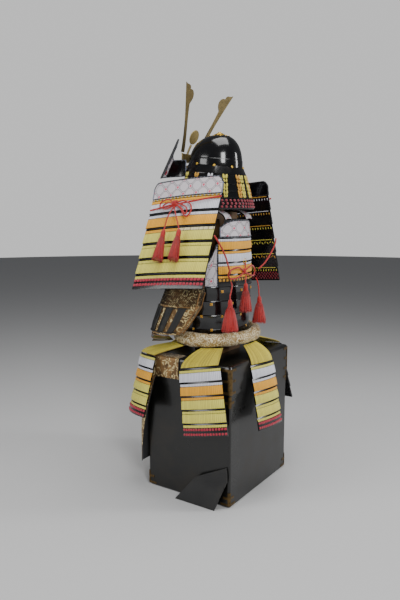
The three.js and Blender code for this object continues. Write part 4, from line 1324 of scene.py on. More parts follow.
@dataclass
class WaistRoll:
    """The padded brocade roll tied round the waist, with its tucks and the lump of its fold."""

    z: float = 632.0
    half_width: float = 185.5
    half_depth: float = 148.5
    reach: float = 24.5
    rise: float = 28.0

    def build(self) -> None:
        """Builds the roll as a ring whose section swells and gathers unevenly."""
        around, sides = 240, 28
        theta = np.linspace(0, 2 * np.pi, around, endpoint=False)[:, None]
        roll = np.linspace(0, 2 * np.pi, sides, endpoint=False)[None, :]
        swell = 1 + 0.035 * np.sin(7 * theta + 0.8) + 0.03 * np.sin(13 * theta + 2.1) - 0.03
        tuck = 0.0
        for centre, depth, width, twist in (
                (0.35, 0.1, 0.05, 0.6), (1.1, 0.07, 0.04, -0.5), (1.62, 0.09, 0.05, 0.4),
                (2.3, 0.06, 0.05, -0.7), (3.0, 0.1, 0.05, 0.5), (3.9, 0.08, 0.05, -0.4),
                (4.6, 0.07, 0.04, 0.6), (5.4, 0.1, 0.05, -0.5)):
            gap = np.angle(np.exp(1j * (theta - centre - 0.16 * twist * np.sin(roll))))
            tuck = tuck + depth * np.exp(-((gap / width) ** 2))
        size = swell - tuck
        out = self.reach * size * np.cos(roll)
        up = self.rise * size * np.sin(roll) * (1 + 0.04 * np.cos(3 * theta))
        x = (self.half_width + out) * np.cos(theta)
        y = FIGURE_Y + (self.half_depth + out) * np.sin(theta)
        points = np.stack(np.broadcast_arrays(x, y, self.z + up), axis=-1)
        points = np.concatenate([points, points[:1]])
        draft = Draft()
        uv = np.stack(
            np.meshgrid(np.linspace(0, 0.166, sides + 1), np.linspace(0, 1.05, around + 1)), axis=-1)
        closed = points[:-1]
        first = draft.add_points(closed)
        for i in range(around):
            n = (i + 1) % around
            for j in range(sides):
                m = (j + 1) % sides
                draft.add_face(
                    [
                        first + i * sides + j, first + n * sides + j, first + n * sides + m,
                        first + i * sides + m],
                    [tuple(uv[i, j]), tuple(uv[i + 1, j]), tuple(uv[i + 1, j + 1]), tuple(uv[i, j + 1])], 0)
        made = draft.piece("waist_roll", [SASH_GOLD], crease=80)
        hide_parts("waist_sash")


# ---- skirt -------------------------------------------------------------------------------------------


@dataclass
class Skirt:
    """Six laced panels round the chest, each hung from a fan of cords under the waist roll."""

    top_width: float = 180.0
    swell: float = 3.5

    def panels(self) -> dict[str, HangingFace]:
        """Each panel's surface, in order round the figure."""
        table = (
            ("left", 264, 75, 547, 3, 8.8, 11.5, 259, 12, 190),
            ("back", 19, 211, 533, 89, 11.9, -4.2, 253, 12, 182),
            ("right", -264, 72, 546, 178, 9.4, -7, 257, 12, 190),
            ("front_right", -214, -208, 553, -144.4, 14, -6, 247, 26, 190),
            ("front", 0, -222, 536, -90, 12, 0, 253, 14, 190),
            ("front_left", 214, -208, 553, -35.6, 14, 6, 247, 26, 190))
        return {
            name: HangingFace(x, y, z, facing, lean, slant, self.top_width, width, length, bow) for name, x,
            y, z, facing, lean, slant, length, bow, width in table}

    def fan(self, index: int, face: HangingFace) -> Surface:
        """The fan of cords over the lid's edge to the head of one panel."""
        middle = 30 + 60 * index

        def surface(s: Array, t: Array, lift: Array | float = 0.0) -> Array:
            """The surface at s across and t down, raised by lift."""
            angle = middle + 15 * (2 * s - 1)
            root = ellipse(angle, 196.0, 159.0, 0.0, FIGURE_Y, 602.0 + 0 * s)
            head = face(0.04 + 0.92 * s, -0.012 + 0 * s)
            rest = head + 0.06 * (root - head)
            rest[..., 2] = 572.0
            u = t[..., None]
            return (1 - u) ** 2 * root + 2 * u * (1 - u) * rest + u * u * head

        return surface

    def build(self) -> None:
        """Builds the six panels with their fans and knots."""
        lames = [
            Lame(Band.YELLOW, Band.WHITE), Lame(Band.WHITE, Band.ORANGE), Lame(Band.ORANGE, Band.YELLOW),
            Lame(Band.YELLOW, Band.YELLOW), Lame(Band.YELLOW, None)]
        knots: Marks | None = None
        for index, (name, face) in enumerate(self.panels().items()):
            lacing = Lacing(face, lames, 186, face.length, self.swell, cord=6.9)
            panel = lacing.build(f"skirt_{name}_laced_lames")
            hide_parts(f"skirt_panel_{name}")
            marks = lacing.knot_marks([0.893, 0.963], 11.4, 4.6)
            knots = marks if knots is None else knots.joined(marks)
            self.cords(f"skirt_{name}_cord_fan", self.fan(index, face), name)
        Repeat("skirt_knots", Shape.CROSS, CRIMSON, 11.5, 8.6, 6.0).set_at(knots)

    def cords(self, name: str, surface: Surface, panel: str) -> None:
        """One fan of flat cords laid side by side."""
        count = 26
        columns = np.linspace(0, 1, 4 * count + 1)
        ridge = np.choose(np.arange(len(columns)) % 4, [-1.1, 0.0, 0.15, 0.0])
        draft = Draft()
        draft.wall(
            surface, columns, level_rows(np.linspace(0, 1, 17)), 3.0, (count * 7.2, 200),
            relief=lambda s, t: ridge[None, :] + 0 * t)
        made = draft.piece(name, [FAN_YELLOW], crease=50)
        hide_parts(f"skirt_cords_{panel}")


# ---- shoulder guards ---------------------------------------------------------------------------------


@dataclass
class ShoulderGuard:
    """One laced shoulder guard with its leather-faced head, given as on the left."""

    side: str
    x: float
    y: float
    z: float
    lean: float
    length: float
    crown: float

    def __post_init__(self) -> None:
        """Sets up the panel's surface."""
        self.face = HangingFace(self.x, self.y, self.z, 0, self.lean, 4.85, 320, 316, self.length, 8)
        self.mirror = self.side == "right"

    def set_rows(
            self, name: str, shape: Shape, finish: Finish, sizes: tuple[float, float, float],
            marks: Marks) -> None:
        """Sets small things at marks on this guard."""
        placed = marks.mirrored() if self.mirror else marks
        Repeat(f"sode_{name}_{self.side}", shape, finish, *sizes).set_at(placed)

    def crown_surface(self) -> Surface:
        """The head plate, turned out over the top, with rounded upper corners."""

        def surface(s: Array, t: Array, lift: Array | float = 0.0) -> Array:
            """The surface at s across and t down, raised by lift."""
            corner = np.maximum(0, np.abs(2 * s - 1) - 0.86) / 0.14
            height = (1 - t) * (1 - 0.35 * corner * corner)
            return self.face(s, -(0.006 + self.crown * height / self.length), 10 * height * height + lift)

        return surface

    def build(self) -> None:
        """Builds the guard."""
        lames = [
            Lame(Band.ORANGE, Band.WHITE), Lame(Band.WHITE, Band.ORANGE),
            Lame(Band.ORANGE, Band.YELLOW, Band.SPECKLED), Lame(Band.YELLOW, Band.YELLOW),
            Lame(Band.YELLOW, Band.YELLOW), Lame(Band.YELLOW, None)]
        lacing = Lacing(self.face, lames, 317, self.length, 4.5)
        panel = lacing.build(f"sode_{self.side}_laced_lames", self.mirror)
        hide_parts(f"sode_panel_{self.side}")
        self.set_rows(
            "knots", Shape.CROSS, CRIMSON, (14.0, 10.5, 7.0), lacing.knot_marks([0.905, 0.953], 14.4, 5.0))
        crown = self.crown_surface()
        draft = Draft()
        columns = np.concatenate(
            [np.linspace(0, 0.1, 9), np.linspace(0.1, 0.9, 25)[1:], np.linspace(0.9, 1, 9)[1:]])
        draft.wall(crown, columns, level_rows(np.linspace(0, 1, 9)), 4.0, (320, self.crown), back=1)
        head = draft.piece(f"sode_{self.side}_head_leather", [LEATHER, BLACK], self.mirror)
        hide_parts(f"sode_crown_{self.side}")
        bind_edge(f"sode_{self.side}_head_edge", crown, (320, self.crown), 4.0, self.mirror)
        self.braid()
        self.inside()

    def braid(self) -> None:
        """The flat many-coloured braid under the head plate."""
        spots = [((i + 0.5) / 56, 0.012) for i in range(56)]
        marks = Marks.on(self.face, spots, 3.0)
        for k, (label, finish) in enumerate(
                (("gold", GOLD_THREAD), ("pale", WHITE_THREAD), ("yellow", YELLOW_THREAD))):
            pick = slice(k, None, 3)
            part = Marks(marks.places[pick], marks.normals[pick], marks.along[pick]).turned(30)
            self.set_rows(f"head_braid_{label}", Shape.BAR, finish, (7.5, 4.0, 2.6), part)

    def inside(self) -> None:
        """The lacing as it shows on the inner side: a cord along each lame and a row of stitches."""
        table = (
            (GOLD_THREAD, WHITE_THREAD, False), (WHITE_THREAD, GOLD_THREAD, False),
            (GOLD_THREAD, YELLOW_THREAD, False), (YELLOW_THREAD, YELLOW_THREAD, True),
            (YELLOW_THREAD, GOLD_THREAD, True), (YELLOW_THREAD, YELLOW_THREAD, False))
        for i, (cord, stitch, zigzag) in enumerate(table):
            top = i / 6 + 0.012
            run = np.linspace(0.03, 0.97, 40)
            t = np.full(40, top)
            line = self.face(run, t) - normal_of(self.face, run, t) * 2.4
            draft = Draft()
            draft.tube(line, 1.7, 6)
            draft.piece(f"sode_inner_cord_{i}_{self.side}", [cord], self.mirror)
            spots = [((k + 0.5) / 24, top + 0.03 + (0.008 if zigzag and k % 2 else 0.0)) for k in range(24)]
            marks = Marks.on(self.face, spots, 2.4, inward=True).turned(90)
            if zigzag:
                slants = [marks.turned(35), marks.turned(-35)]
                half = [Marks(m.places[k::2], m.normals[k::2], m.along[k::2]) for k, m in enumerate(slants)]
                marks = half[0].joined(half[1])
            self.set_rows(
                f"inner_stitches_{i}", Shape.BAR, stitch, (12.0 if zigzag else 10.0, 4.4, 2.4), marks)
        spots = [((k + (j % 2) * 0.5 + 0.25) / 22, 0.905 + 0.022 * j) for j in range(4) for k in range(22)]
        marks = Marks.on(self.face, spots, 2.2, inward=True)
        # The inner mesh takes the crimson darkened as painted shade.
        self.set_rows("inner_mesh", Shape.CROSS, SHADED_CRIMSON, (13.0, 3.0, 2.4), marks)


# ---- helmet ------------------------------------------------------------------------------------------


@dataclass
class Helmet:
    """The lacquered bowl with its gilt fittings, the peak, the neck guard, the wings, disc and horns."""

    y: float = -25.0
    half_width: float = 95.0
    half_depth: float = 113.0
    top: float = 1438.0
    rim_front: float = 1326.0
    rim_back: float = 1298.0

    def rim(self, angle: Array) -> Array:
        """The rim's height, high over the brow and low at the nape."""
        return self.rim_back + (self.rim_front - self.rim_back) * (0.5 - 0.5 * np.sin(np.radians(angle)))

    def dome(self, angle: Array, fall: Array, lift: Array | float = 0.0) -> Array:
        """A point on the bowl: fall runs from 0 at the crown to 1 at the rim."""
        rim = self.rim(angle)
        out = np.sin(np.pi / 2 * np.clip(fall, 1e-4, 1)) ** 0.82
        rise = np.cos(np.pi / 2 * np.clip(fall, 0, 1)) ** 0.88 * (self.top + lift - rim)
        centre = FIGURE_Y + 6 + (self.y - FIGURE_Y - 6) * fall
        return ellipse(
            angle, (self.half_width + lift) * out, (self.half_depth + lift) * out, 0.0, centre, rim + rise)

    def bowl(self) -> None:
        """The smooth bowl with a raised band above its rim, and its gilt fittings."""
        angle = np.arange(120) * 3.0
        falls = np.concatenate([np.linspace(0.04, 0.86, 22), [0.868, 0.876, 0.93, 0.99, 1.0]])
        band = np.concatenate([np.zeros(22), [1.4, 1.7, 1.7, 1.7, 0.8]])
        a, f = np.meshgrid(angle, falls)
        outside = self.dome(a, f, band[:, None] + 0 * a)
        a, g = np.meshgrid(angle, np.array([1.0, 0.8, 0.6, 0.4, 0.2, 0.06]))
        inside = self.dome(a, g, -3.0 + 0 * a)
        points = np.concatenate([outside, inside])
        draft = Draft()
        uv = np.zeros((len(points), 121, 2))
        first = draft.grid(points, uv, np.zeros((len(points) - 1, 120), int), ring=True, flip=True)
        draft.add_face([first + i for i in range(120)], [(0, 0)] * 120, 0)
        last = first + (len(points) - 1) * 120
        draft.add_face([last + i for i in reversed(range(120))], [(0, 0)] * 120, 0)
        made = draft.piece("helmet_bowl_lacquered", [BLACK], crease=32)
        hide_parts("helmet_bowl")
        rosette = Draft()
        crown = [0.0, FIGURE_Y + 5, self.top + 1.0]
        rosette.spun(
            crown, (0, 0, 1), [(-4, 20), (-1, 21), (1.5, 20), (2.5, 15), (4.5, 13.5), (6, 10), (6.5, 6)],
            40, 0, ripple=lambda turn, along: 1.3 * np.cos(8 * turn) * (along < 2))
        rosette.spun(crown, (0, 0, 1), [(5.5, 7), (9, 6.5), (10, 4.5)], 24)
        rosette.piece("helmet_crown_fitting", [GILT], crease=35)
        angles = np.arange(0, 360, 36.0)
        places = self.dome(angles, 0.2 + 0 * angles, 0.6)
        marks = Marks(
            places, unit(self.dome(angles, 0.2 + 0 * angles, 2.0) - places),
            unit(np.stack([-np.sin(np.radians(angles)), np.cos(np.radians(angles)), 0 * angles], axis=-1)))
        Repeat("helmet_crown_petals", Shape.DOME, GILT, 9, 6.5, 3).set_at(marks)
        angles = np.array([-90, -77, -103, -64, -116], float)
        places = self.dome(angles, 0.55 + 0 * angles, 0.4)
        out = unit(self.dome(angles, 0.55 + 0 * angles, 3.0) - places)
        down = unit(self.dome(angles, 0.6 + 0 * angles, 0.4) - places)
        Repeat("helmet_brow_fittings", Shape.BAR, GILT, 26, 3.2, 2.4).set_at(Marks(places, out, down))
        angles = np.array([-12, 26, 64, 116, 154, 192], float)
        z = self.rim(angles) + 6
        places = ellipse(angles, self.half_width + 4.5, self.half_depth + 4.5, 0.0, self.y, z)
        out = unit(places - np.array([0, self.y, 0]) - np.stack([0 * z, 0 * z, z], -1))
        Repeat("helmet_rivets", Shape.DOME, GILT, 11.5, 11.5, 7).set_at(
            Marks(places, out, np.tile([0.0, 0.0, 1.0], (len(angles), 1))))

    def peak(self) -> None:
        """The lacquered peak over the brow with a turned-down gilt edge."""

        def surface(s: Array, t: Array, lift: Array | float = 0.0) -> Array:
            """The surface at s across and t down, raised by lift."""
            angle = -146 + 112 * s
            reach = np.sin(np.pi * np.clip(s, 1e-6, 1)) ** 0.7
            return ellipse(
                angle, self.half_width - 3 + 14 * t * reach, self.half_depth - 3 + 34 * t * reach, 0.0,
                self.y, self.rim(angle) - 2.4 - 15 * t * t * reach + lift)

        draft = Draft()
        draft.wall(
            surface, np.linspace(0.03, 0.97, 49), level_rows(np.linspace(0, 1, 9)), 2.6, (230, 34))
        made = draft.piece("helmet_peak_lacquered", [BLACK])
        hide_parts("helmet_peak")
        rim = np.linspace(0.05, 0.95, 60)
        edge = Draft()
        edge.tube(surface(rim, 1 + 0 * rim, 0 * rim), 2.2, 8)
        edge.piece("helmet_peak_edge", [GILT])

    def neck_surface(self, s: Array, t: Array, lift: Array | float = 0.0) -> Array:
        """The flared neck guard, from the left end round the nape to the right end."""
        angle = 90 - 132 + 264 * s
        flare = np.clip(t, 1e-4, 2) ** 0.9
        rim = self.rim(angle) + 5
        return ellipse(
            angle, 99 + 51 * flare + lift, 117 + 41 * flare + lift, 0.0, self.y, rim + (1145 - rim) * t)

    def neck(self) -> None:
        """Five lacquered lames, the lacing pairs in columns and three rows of crimson knots."""
        ends = [0.2, 0.42, 0.59, 0.76, 1.0]
        rows: list[tuple[float, float]] = []
        for i, end in enumerate(ends):
            start = ends[i - 1] + 0.008 if i else 0.002
            rows += [(start, 0.0), (start + 0.3 * (end - start), 0.9), (end - 0.01, 3.4), (end, 2.6)]
        draft = Draft()
        draft.wall(self.neck_surface, np.linspace(0, 1, 133), rows, 3.0, (480, 180))
        made = draft.piece("neck_guard_lames", [BLACK], crease=30)
        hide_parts("neck_guard")
        colours = (YELLOW_THREAD, GOLD_THREAD, WHITE_THREAD, YELLOW_THREAD, GOLD_THREAD, YELLOW_THREAD)
        for k, finish in enumerate(colours):
            angles = {-31.5 + 26 * k, 180 - (-31.5 + 26 * k)}
            columns = [(a + 42) / 264 for a in angles]
            slanted = Marks.on(
                self.neck_surface, [(s, t) for s in columns for t in (0.245, 0.455, 0.625)], 4.4)
            Repeat(
                f"neck_lacing_slanted_{k}", Shape.PAIR, finish, 9.5, 20.0, 5.0, uneven=0.08).set_at(slanted)
            upright = Marks.on(
                self.neck_surface, [(s, t) for s in columns for t in (0.345, 0.54, 0.71)], 4.6)
            Repeat(
                f"neck_lacing_upright_{k}", Shape.PAIR, finish, 8.0, 13.5, 5.5, uneven=0.08).set_at(upright)
        rows = enumerate((0.815, 0.89, 0.965))
        spots = [((i + 0.5 + 0.25 * (j % 2)) / 40, t) for j, t in rows for i in range(40)]
        marks = Marks.on(self.neck_surface, [spot for spot in spots if spot[0] < 0.995], 4.6)
        # The neck guard's knots take the crimson darkened as painted shade.
        Repeat("neck_knots", Shape.CROSS, SHADED_CRIMSON, 11.5, 10.0, 6.5).set_at(marks)
        edge = np.linspace(0, 1, 120)
        binding = Draft()
        binding.tube(self.neck_surface(edge, 1 + 0 * edge, 1.5 + 0 * edge), 2.3, 8)
        binding.piece("neck_guard_edge", [EDGE_DARK])

    def wing_band(self, s: float, t: float) -> int:
        """The wing's finish at s and t: crimson low down in front, black behind, and leather elsewhere."""
        if 0.66 < t < 0.86 and 0.06 < s < 0.6:
            return 2
        return 1 if s > 0.64 else 0

    def wings(self) -> None:
        """The turned-back wings: leather in front, a crimson band, black behind, edged with stitches."""
        route = smooth_path(
            [(82, -113, 0), (93, -150, 0), (107, -170, 0), (129, -159, 0), (157, -127, 0)], 201, 0.4)

        def surface(s: Array, t: Array, lift: Array | float = 0.0) -> Array:
            """The surface at s across and t down, raised by lift."""
            share = np.clip(s, 0, 1)
            x = np.interp(share * 200, np.arange(201), route[:, 0])
            y = np.interp(share * 200, np.arange(201), route[:, 1])
            top = 1338 + (1414 - 1338) * ease(share, 0.3, 0.72) - 30 * ease(share, 0.86, 1.0)
            bottom = 1276 - 10 * share + 16 * ease(share, 0.86, 1.0)
            z = top + (bottom - top) * t
            return np.stack([x, y + 0.6 * (z - 1348) * ease(share, 0.05, 0.4), z], axis=-1)

        def turned(s: Array, t: Array, lift: Array | float = 0.0) -> Array:
            """The same wing, run from its tip to its root."""
            return surface(1 - s, t, lift)

        for name, mirror in SIDES:
            draft = Draft()
            columns = np.linspace(0.002, 0.998, 41)
            levels = np.linspace(0, 1, 15)
            middles = (levels[:-1] + levels[1:]) / 2
            bands = np.array([[self.wing_band(s, t) for s in columns[:-1]] for t in middles])
            draft.wall(turned, columns, level_rows(levels), 3.0, (120, 140), bands, back=1)
            made = draft.piece(f"neck_wing_{name}_leather", [LEATHER, BLACK, CRIMSON], mirror)
            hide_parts(f"neck_wing_{name}")
            bind_edge(f"neck_wing_{name}_edge", turned, (120, 120), 3.0, mirror)

    def crest(self) -> None:
        """The pierced gilt bracket, the disc and the pair of flat horns."""

        def surface(s: Array, t: Array, lift: Array | float = 0.0) -> Array:
            """The surface at s across and t down, raised by lift."""
            side = 2 * s - 1
            low = 1334 + 14 * side * side + 4 * np.abs(np.sin(9 * np.pi * s))
            return ellipse(
                -90 + 34 * side, 118.0 + lift, 143.0 + lift, 0.0, self.y, 1372 + (low - 1372) * t)

        draft = Draft()
        rows = [(0.0, 0.0), (0.1, 1.2), (0.2, 0.2), (0.5, 0.9), (0.8, 0.2), (0.92, 1.0), (1.0, 0.0)]
        draft.wall(surface, np.linspace(0, 1, 73), rows, 2.6, (140, 38))
        stem = smooth_path([(0, -168, 1360), (0, -157, 1385), (0, -144, 1408)], 12)
        draft.tube(stem, 5.5, 8, flat=0.35)
        made = draft.piece("crest_bracket", [HORN_BRONZE], crease=30)
        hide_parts("crest_stand")
        disc = Draft()
        axis = np.array([0, -1, 0.42]) / math.hypot(1, 0.42)
        disc.spun(
            (0, -129, 1437), axis,
            [
                (-2.2, 24), (-2.2, 28), (-1, 30), (0.6, 30.4), (1.8, 29), (1.9, 27), (1.2, 25.5), (1.5, 20),
                (2.1, 12), (2.3, 3)],
            64)
        face = disc.piece("crest_disc_gilt", [DISC_BRONZE], crease=30)
        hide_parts("crest_disc")
        self.horn()

    def horn(self) -> None:
        """A flat horn with a raised rim: a shaft that widens upward and two scallops on its inner edge."""

        def curve(points: Sequence[tuple[float, float]], count: int) -> list[Array]:
            """Points along one stretch of the outline."""
            p = [np.array(q, float) for q in points]
            out = []
            for u in np.linspace(0, 1, count, endpoint=False):
                level = p
                while len(level) > 1:
                    level = [a + (b - a) * u for a, b in zip(level, level[1:])]
                out.append(level[0])
            return out

        line: list[Array] = []
        for points, count in (
                ([(-6, 0), (20, 0)], 2), ([(20, 0), (31, 44), (44, 82), (61, 120)], 10),
                ([(61, 120), (79, 160), (103, 204), (133, 259)], 12),
                ([(133, 259), (120, 254), (108, 256), (98, 254)], 5),
                ([(98, 254), (88, 250), (87, 240)], 6), ([(87, 240), (69, 244), (58, 233)], 7),
                ([(58, 233), (48, 223), (52, 207)], 7), ([(52, 207), (57, 196), (64, 188)], 4),
                ([(64, 188), (57, 162), (42, 126), (30, 98)], 9),
                ([(30, 98), (17, 68), (2, 30), (-6, 0)], 9)):
            line += curve(points, count)
        outline = np.array(line)
        ahead = unit(np.roll(outline, -1, 0) - np.roll(outline, 1, 0))
        inward = np.stack([-ahead[:, 1], ahead[:, 0]], axis=1)
        levels = [
            (0.0, 0.9), (0.5, 0.2), (1.0, 0.0), (2.0, 0.0), (2.6, 0.2), (3.0, 0.9), (3.0, 2.6), (2.4, 3.2)]
        rings = [
            np.column_stack([outline + inward * inset, np.full(len(outline), z)]) for z, inset in levels]
        rx, rz = math.radians(90 - 19.6), math.radians(6.8)
        points = np.array(rings)
        x, y, z = points[..., 0], points[..., 1], points[..., 2]
        y, z = y * math.cos(rx) - z * math.sin(rx), y * math.sin(rx) + z * math.cos(rx)
        x, y = x * math.cos(rz) - y * math.sin(rz), x * math.sin(rz) + y * math.cos(rz)
        placed = np.stack([x + 51, y - 146, z + 1373.8], axis=-1)
        n = len(outline)
        for name, mirror in SIDES:
            draft = Draft()
            dark = [1 if line[i][1] < 118 else 0 for i in range(n)]
            first = draft.grid(
                placed, np.zeros((len(levels), n + 1, 2)), np.tile(dark, (len(levels) - 1, 1)), ring=True,
                flip=True)
            for start, turned in ((first, False), (first + (len(levels) - 1) * n, True)):
                ring = [start + i for i in range(n)]
                draft.add_face(ring[::-1] if turned else ring, [(0, 0)] * n, 0)
            made = draft.piece(f"horn_{name}_gilt", [HORN_BRONZE, HORN_DARK], mirror, crease=30)
            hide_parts(f"horn_{name}")

    def build(self) -> None:
        """Builds the whole helmet."""
        self.bowl()
        self.peak()
        self.neck()
        self.wings()
        self.crest()


# ---- arms --------------------------------------------------------------------------------------------


@dataclass
class Arm:
    """One sleeve with its mail, its forearm splints and its hand guard, given as on the left."""

    side: str
    heights: tuple[float, ...] = (1040, 1000, 930, 870, 830, 770, 700, 660)
    x: tuple[float, ...] = (196, 207, 226, 230, 232, 233, 240, 243)
    y: tuple[float, ...] = (-12, -12, -12, -13, -15, -37, -73, -95)
    half_width: tuple[float, ...] = (33, 40, 50, 54, 55, 53, 46, 41)
    half_depth: tuple[float, ...] = (60, 70, 78, 80, 82, 88, 78, 66)

    def __post_init__(self) -> None:
        """Carries the right arm further forward and closer in."""
        self.mirror = self.side == "right"
        if self.mirror:
            z = np.array(self.heights, float)
            self.x = tuple(np.array(self.x) - 32.0)
            self.half_width = tuple(np.array(self.half_width) * 0.74)
            self.y = tuple(np.array(self.y) - (24 + (62 - 24) * ease(z, 660, 770)))

    def at(self, angle: Array, z: Array, out: Array | float = 0.0) -> Array:
        """A point on the sleeve at an angle and a height."""
        rising = self.heights[::-1]

        def pick(row: Sequence[float]) -> Array:
            """One of the sleeve's measures at the heights asked for."""
            return np.interp(z, rising, row[::-1])

        return ellipse(
            angle, pick(self.half_width) + out, pick(self.half_depth) + out, pick(self.x), pick(self.y), z)

    def surface(self, s: Array, t: Array, lift: Array | float = 0.0) -> Array:
        """The whole sleeve, s round it and t down it."""
        return self.at(360 * s, 1040 - 380 * t, lift)

    def sleeve(self) -> None:
        """The brocade tube with soft creases round it, deepest in front of the elbow."""

        def folds(s: Array, t: Array) -> Array:
            """How far the cloth stands in or out at s and t."""
            total = 0 * s
            for at, slope, depth, width, where in (
                    (0.08, 0.05, 2.2, 0.02, 0.1), (0.19, -0.07, 2.6, 0.025, 0.7),
                    (0.3, 0.06, 2.0, 0.02, 0.35), (0.41, -0.05, 2.8, 0.025, 0.85),
                    (0.5, 0.08, 2.2, 0.02, 0.6), (0.93, 0.04, 2.4, 0.02, 0.9)):
                gap = np.angle(np.exp(2j * np.pi * (s - where))) / (2 * np.pi)
                total = total - depth * np.exp(
                    -(((t - at - slope * gap * 3) / width) ** 2)) * np.exp(-((gap / 0.2) ** 2))
            return total

        draft = Draft()
        draft.wall(
            self.surface, np.arange(96) / 96, level_rows(np.linspace(0, 1, 72)), 2.4, (430, 390),
            relief=folds, back=1, ring=True)
        made = draft.piece(f"sleeve_{self.side}_brocade", [SLEEVE_BROWN, LINING], self.mirror, crease=70)
        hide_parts(f"sleeve_{self.side}")
        halves = zip(self.half_width, self.half_depth)
        girths = [math.pi * (3 * (a + b) - math.sqrt((3 * a + b) * (a + 3 * b))) for a, b in halves]
        for k, angle in enumerate((72.0, 108.0)):
            z = np.linspace(828, 662, 50)
            seam = Draft()
            seam.tube(self.at(np.full(50, angle), z, 3.6 + 0 * z), 3.0, 8, flat=0.6)
            seam.piece(f"sleeve_edge_{k}_{self.side}", [CORD_GOLD], self.mirror)

    def mail(self) -> None:
        """Blackened mail over the sleeve above the splints: rings in rows with links between."""
        spots = []
        for j in range(17):
            for i in range(52):
                spots.append(((i + 0.5 * (j % 2)) / 52, (1040 - (950 - 10.5 * j)) / 380))
        marks = Marks.on(self.surface, spots, 2.6)
        placed = marks.mirrored() if self.mirror else marks
        Repeat(f"sleeve_mail_{self.side}", Shape.RING, MAIL, 4.0, 4.0, 0.95, uneven=0.04).set_at(placed)

    def splints(self) -> None:
        """Long lacquered splints over the outside of the forearm, with brocade between them."""

        def surface(s: Array, t: Array, lift: Array | float = 0.0) -> Array:
            """The surface at s across and t down, raised by lift."""
            return self.at(-125 + 179 * s, 772 - 104 * t, 4.3 + lift)

        draft = Draft()
        for k in range(5):
            lo, hi = (k + 0.05) / 5, (k + 0.66) / 5
            columns = np.linspace(lo, hi, 9)
            crown = 2.6 * np.sin(np.pi * np.linspace(0, 1, 9)) ** 0.6
            draft.wall(
                surface, columns, level_rows(np.linspace(0.0, 1.0, 18)), 2.6, (160, 104),
                relief=lambda s, t, c=crown: c[None, :] + 0 * t)
        made = draft.piece(f"forearm_guard_{self.side}_splints", [SPLINT], self.mirror, crease=50)
        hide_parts(f"forearm_guard_{self.side}")
        wristband = Draft()
        for t, size in ((0.03, 3.0), (0.97, 3.4)):
            run = np.linspace(0, 1, 60)
            wristband.tube(surface(run, t + 0 * run, 2.2 + 0 * run), size, 8, flat=0.6)
        wristband.piece(f"forearm_guard_{self.side}_bands", [SPLINT], self.mirror)

    def hand(self) -> None:
        """The guard over the back of the hand, bent in from the wrist towards the lid."""

        def surface(s: Array, t: Array, lift: Array | float = 0.0) -> Array:
            """The surface at s across and t down, raised by lift."""
            z = 656.0
            wrist = self.at(-115 + 147 * s, 660.0 + 0 * s, -2.0)
            wrist[..., 2] = z
            fingers = np.array([182.0, -218.0, 602.0]) + (
                np.array([132.0, -146.0, 606.0]) - np.array([182.0, -218.0, 602.0])) * s[..., None]
            bulge = 26 * np.sin(np.pi * np.clip(t, 0, 1)) * np.sin(np.pi * np.clip(s, 0, 1))
            return wrist + (fingers - wrist) * t[..., None] + bulge[..., None] * np.array([0.8, -0.2, 0.0])

        draft = Draft()
        draft.wall(
            surface, np.linspace(0, 1, 33), level_rows(np.linspace(0, 1, 21)), 3.0, (120, 100),
            back=0)
        made = draft.piece(f"hand_guard_{self.side}_plate", [SPLINT], self.mirror, crease=60)
        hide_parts(f"hand_guard_{self.side}")
        trim = Draft()
        for points in (
                [(0.02, 0.04), (0.5, 0.03), (0.98, 0.04)], [(0.1, 0.92), (0.5, 0.97), (0.9, 0.93)],
                [(0.2, 0.35), (0.5, 0.5), (0.8, 0.36)]):
            path = smooth_path([(a, b, 0) for a, b in points], 40)
            s, t = path[:, 0], path[:, 1]
            trim.tube(surface(s, t, 0 * s) + normal_of(surface, s, t) * 2.0, 1.5, 6)
        trim.piece(f"hand_guard_{self.side}_piping", [CORD_GOLD], self.mirror)

    def build(self) -> None:
        """Builds the arm."""
        self.sleeve()
        self.mail()
        self.splints()
        self.hand()


# ---- thigh apron -------------------------------------------------------------------------------------


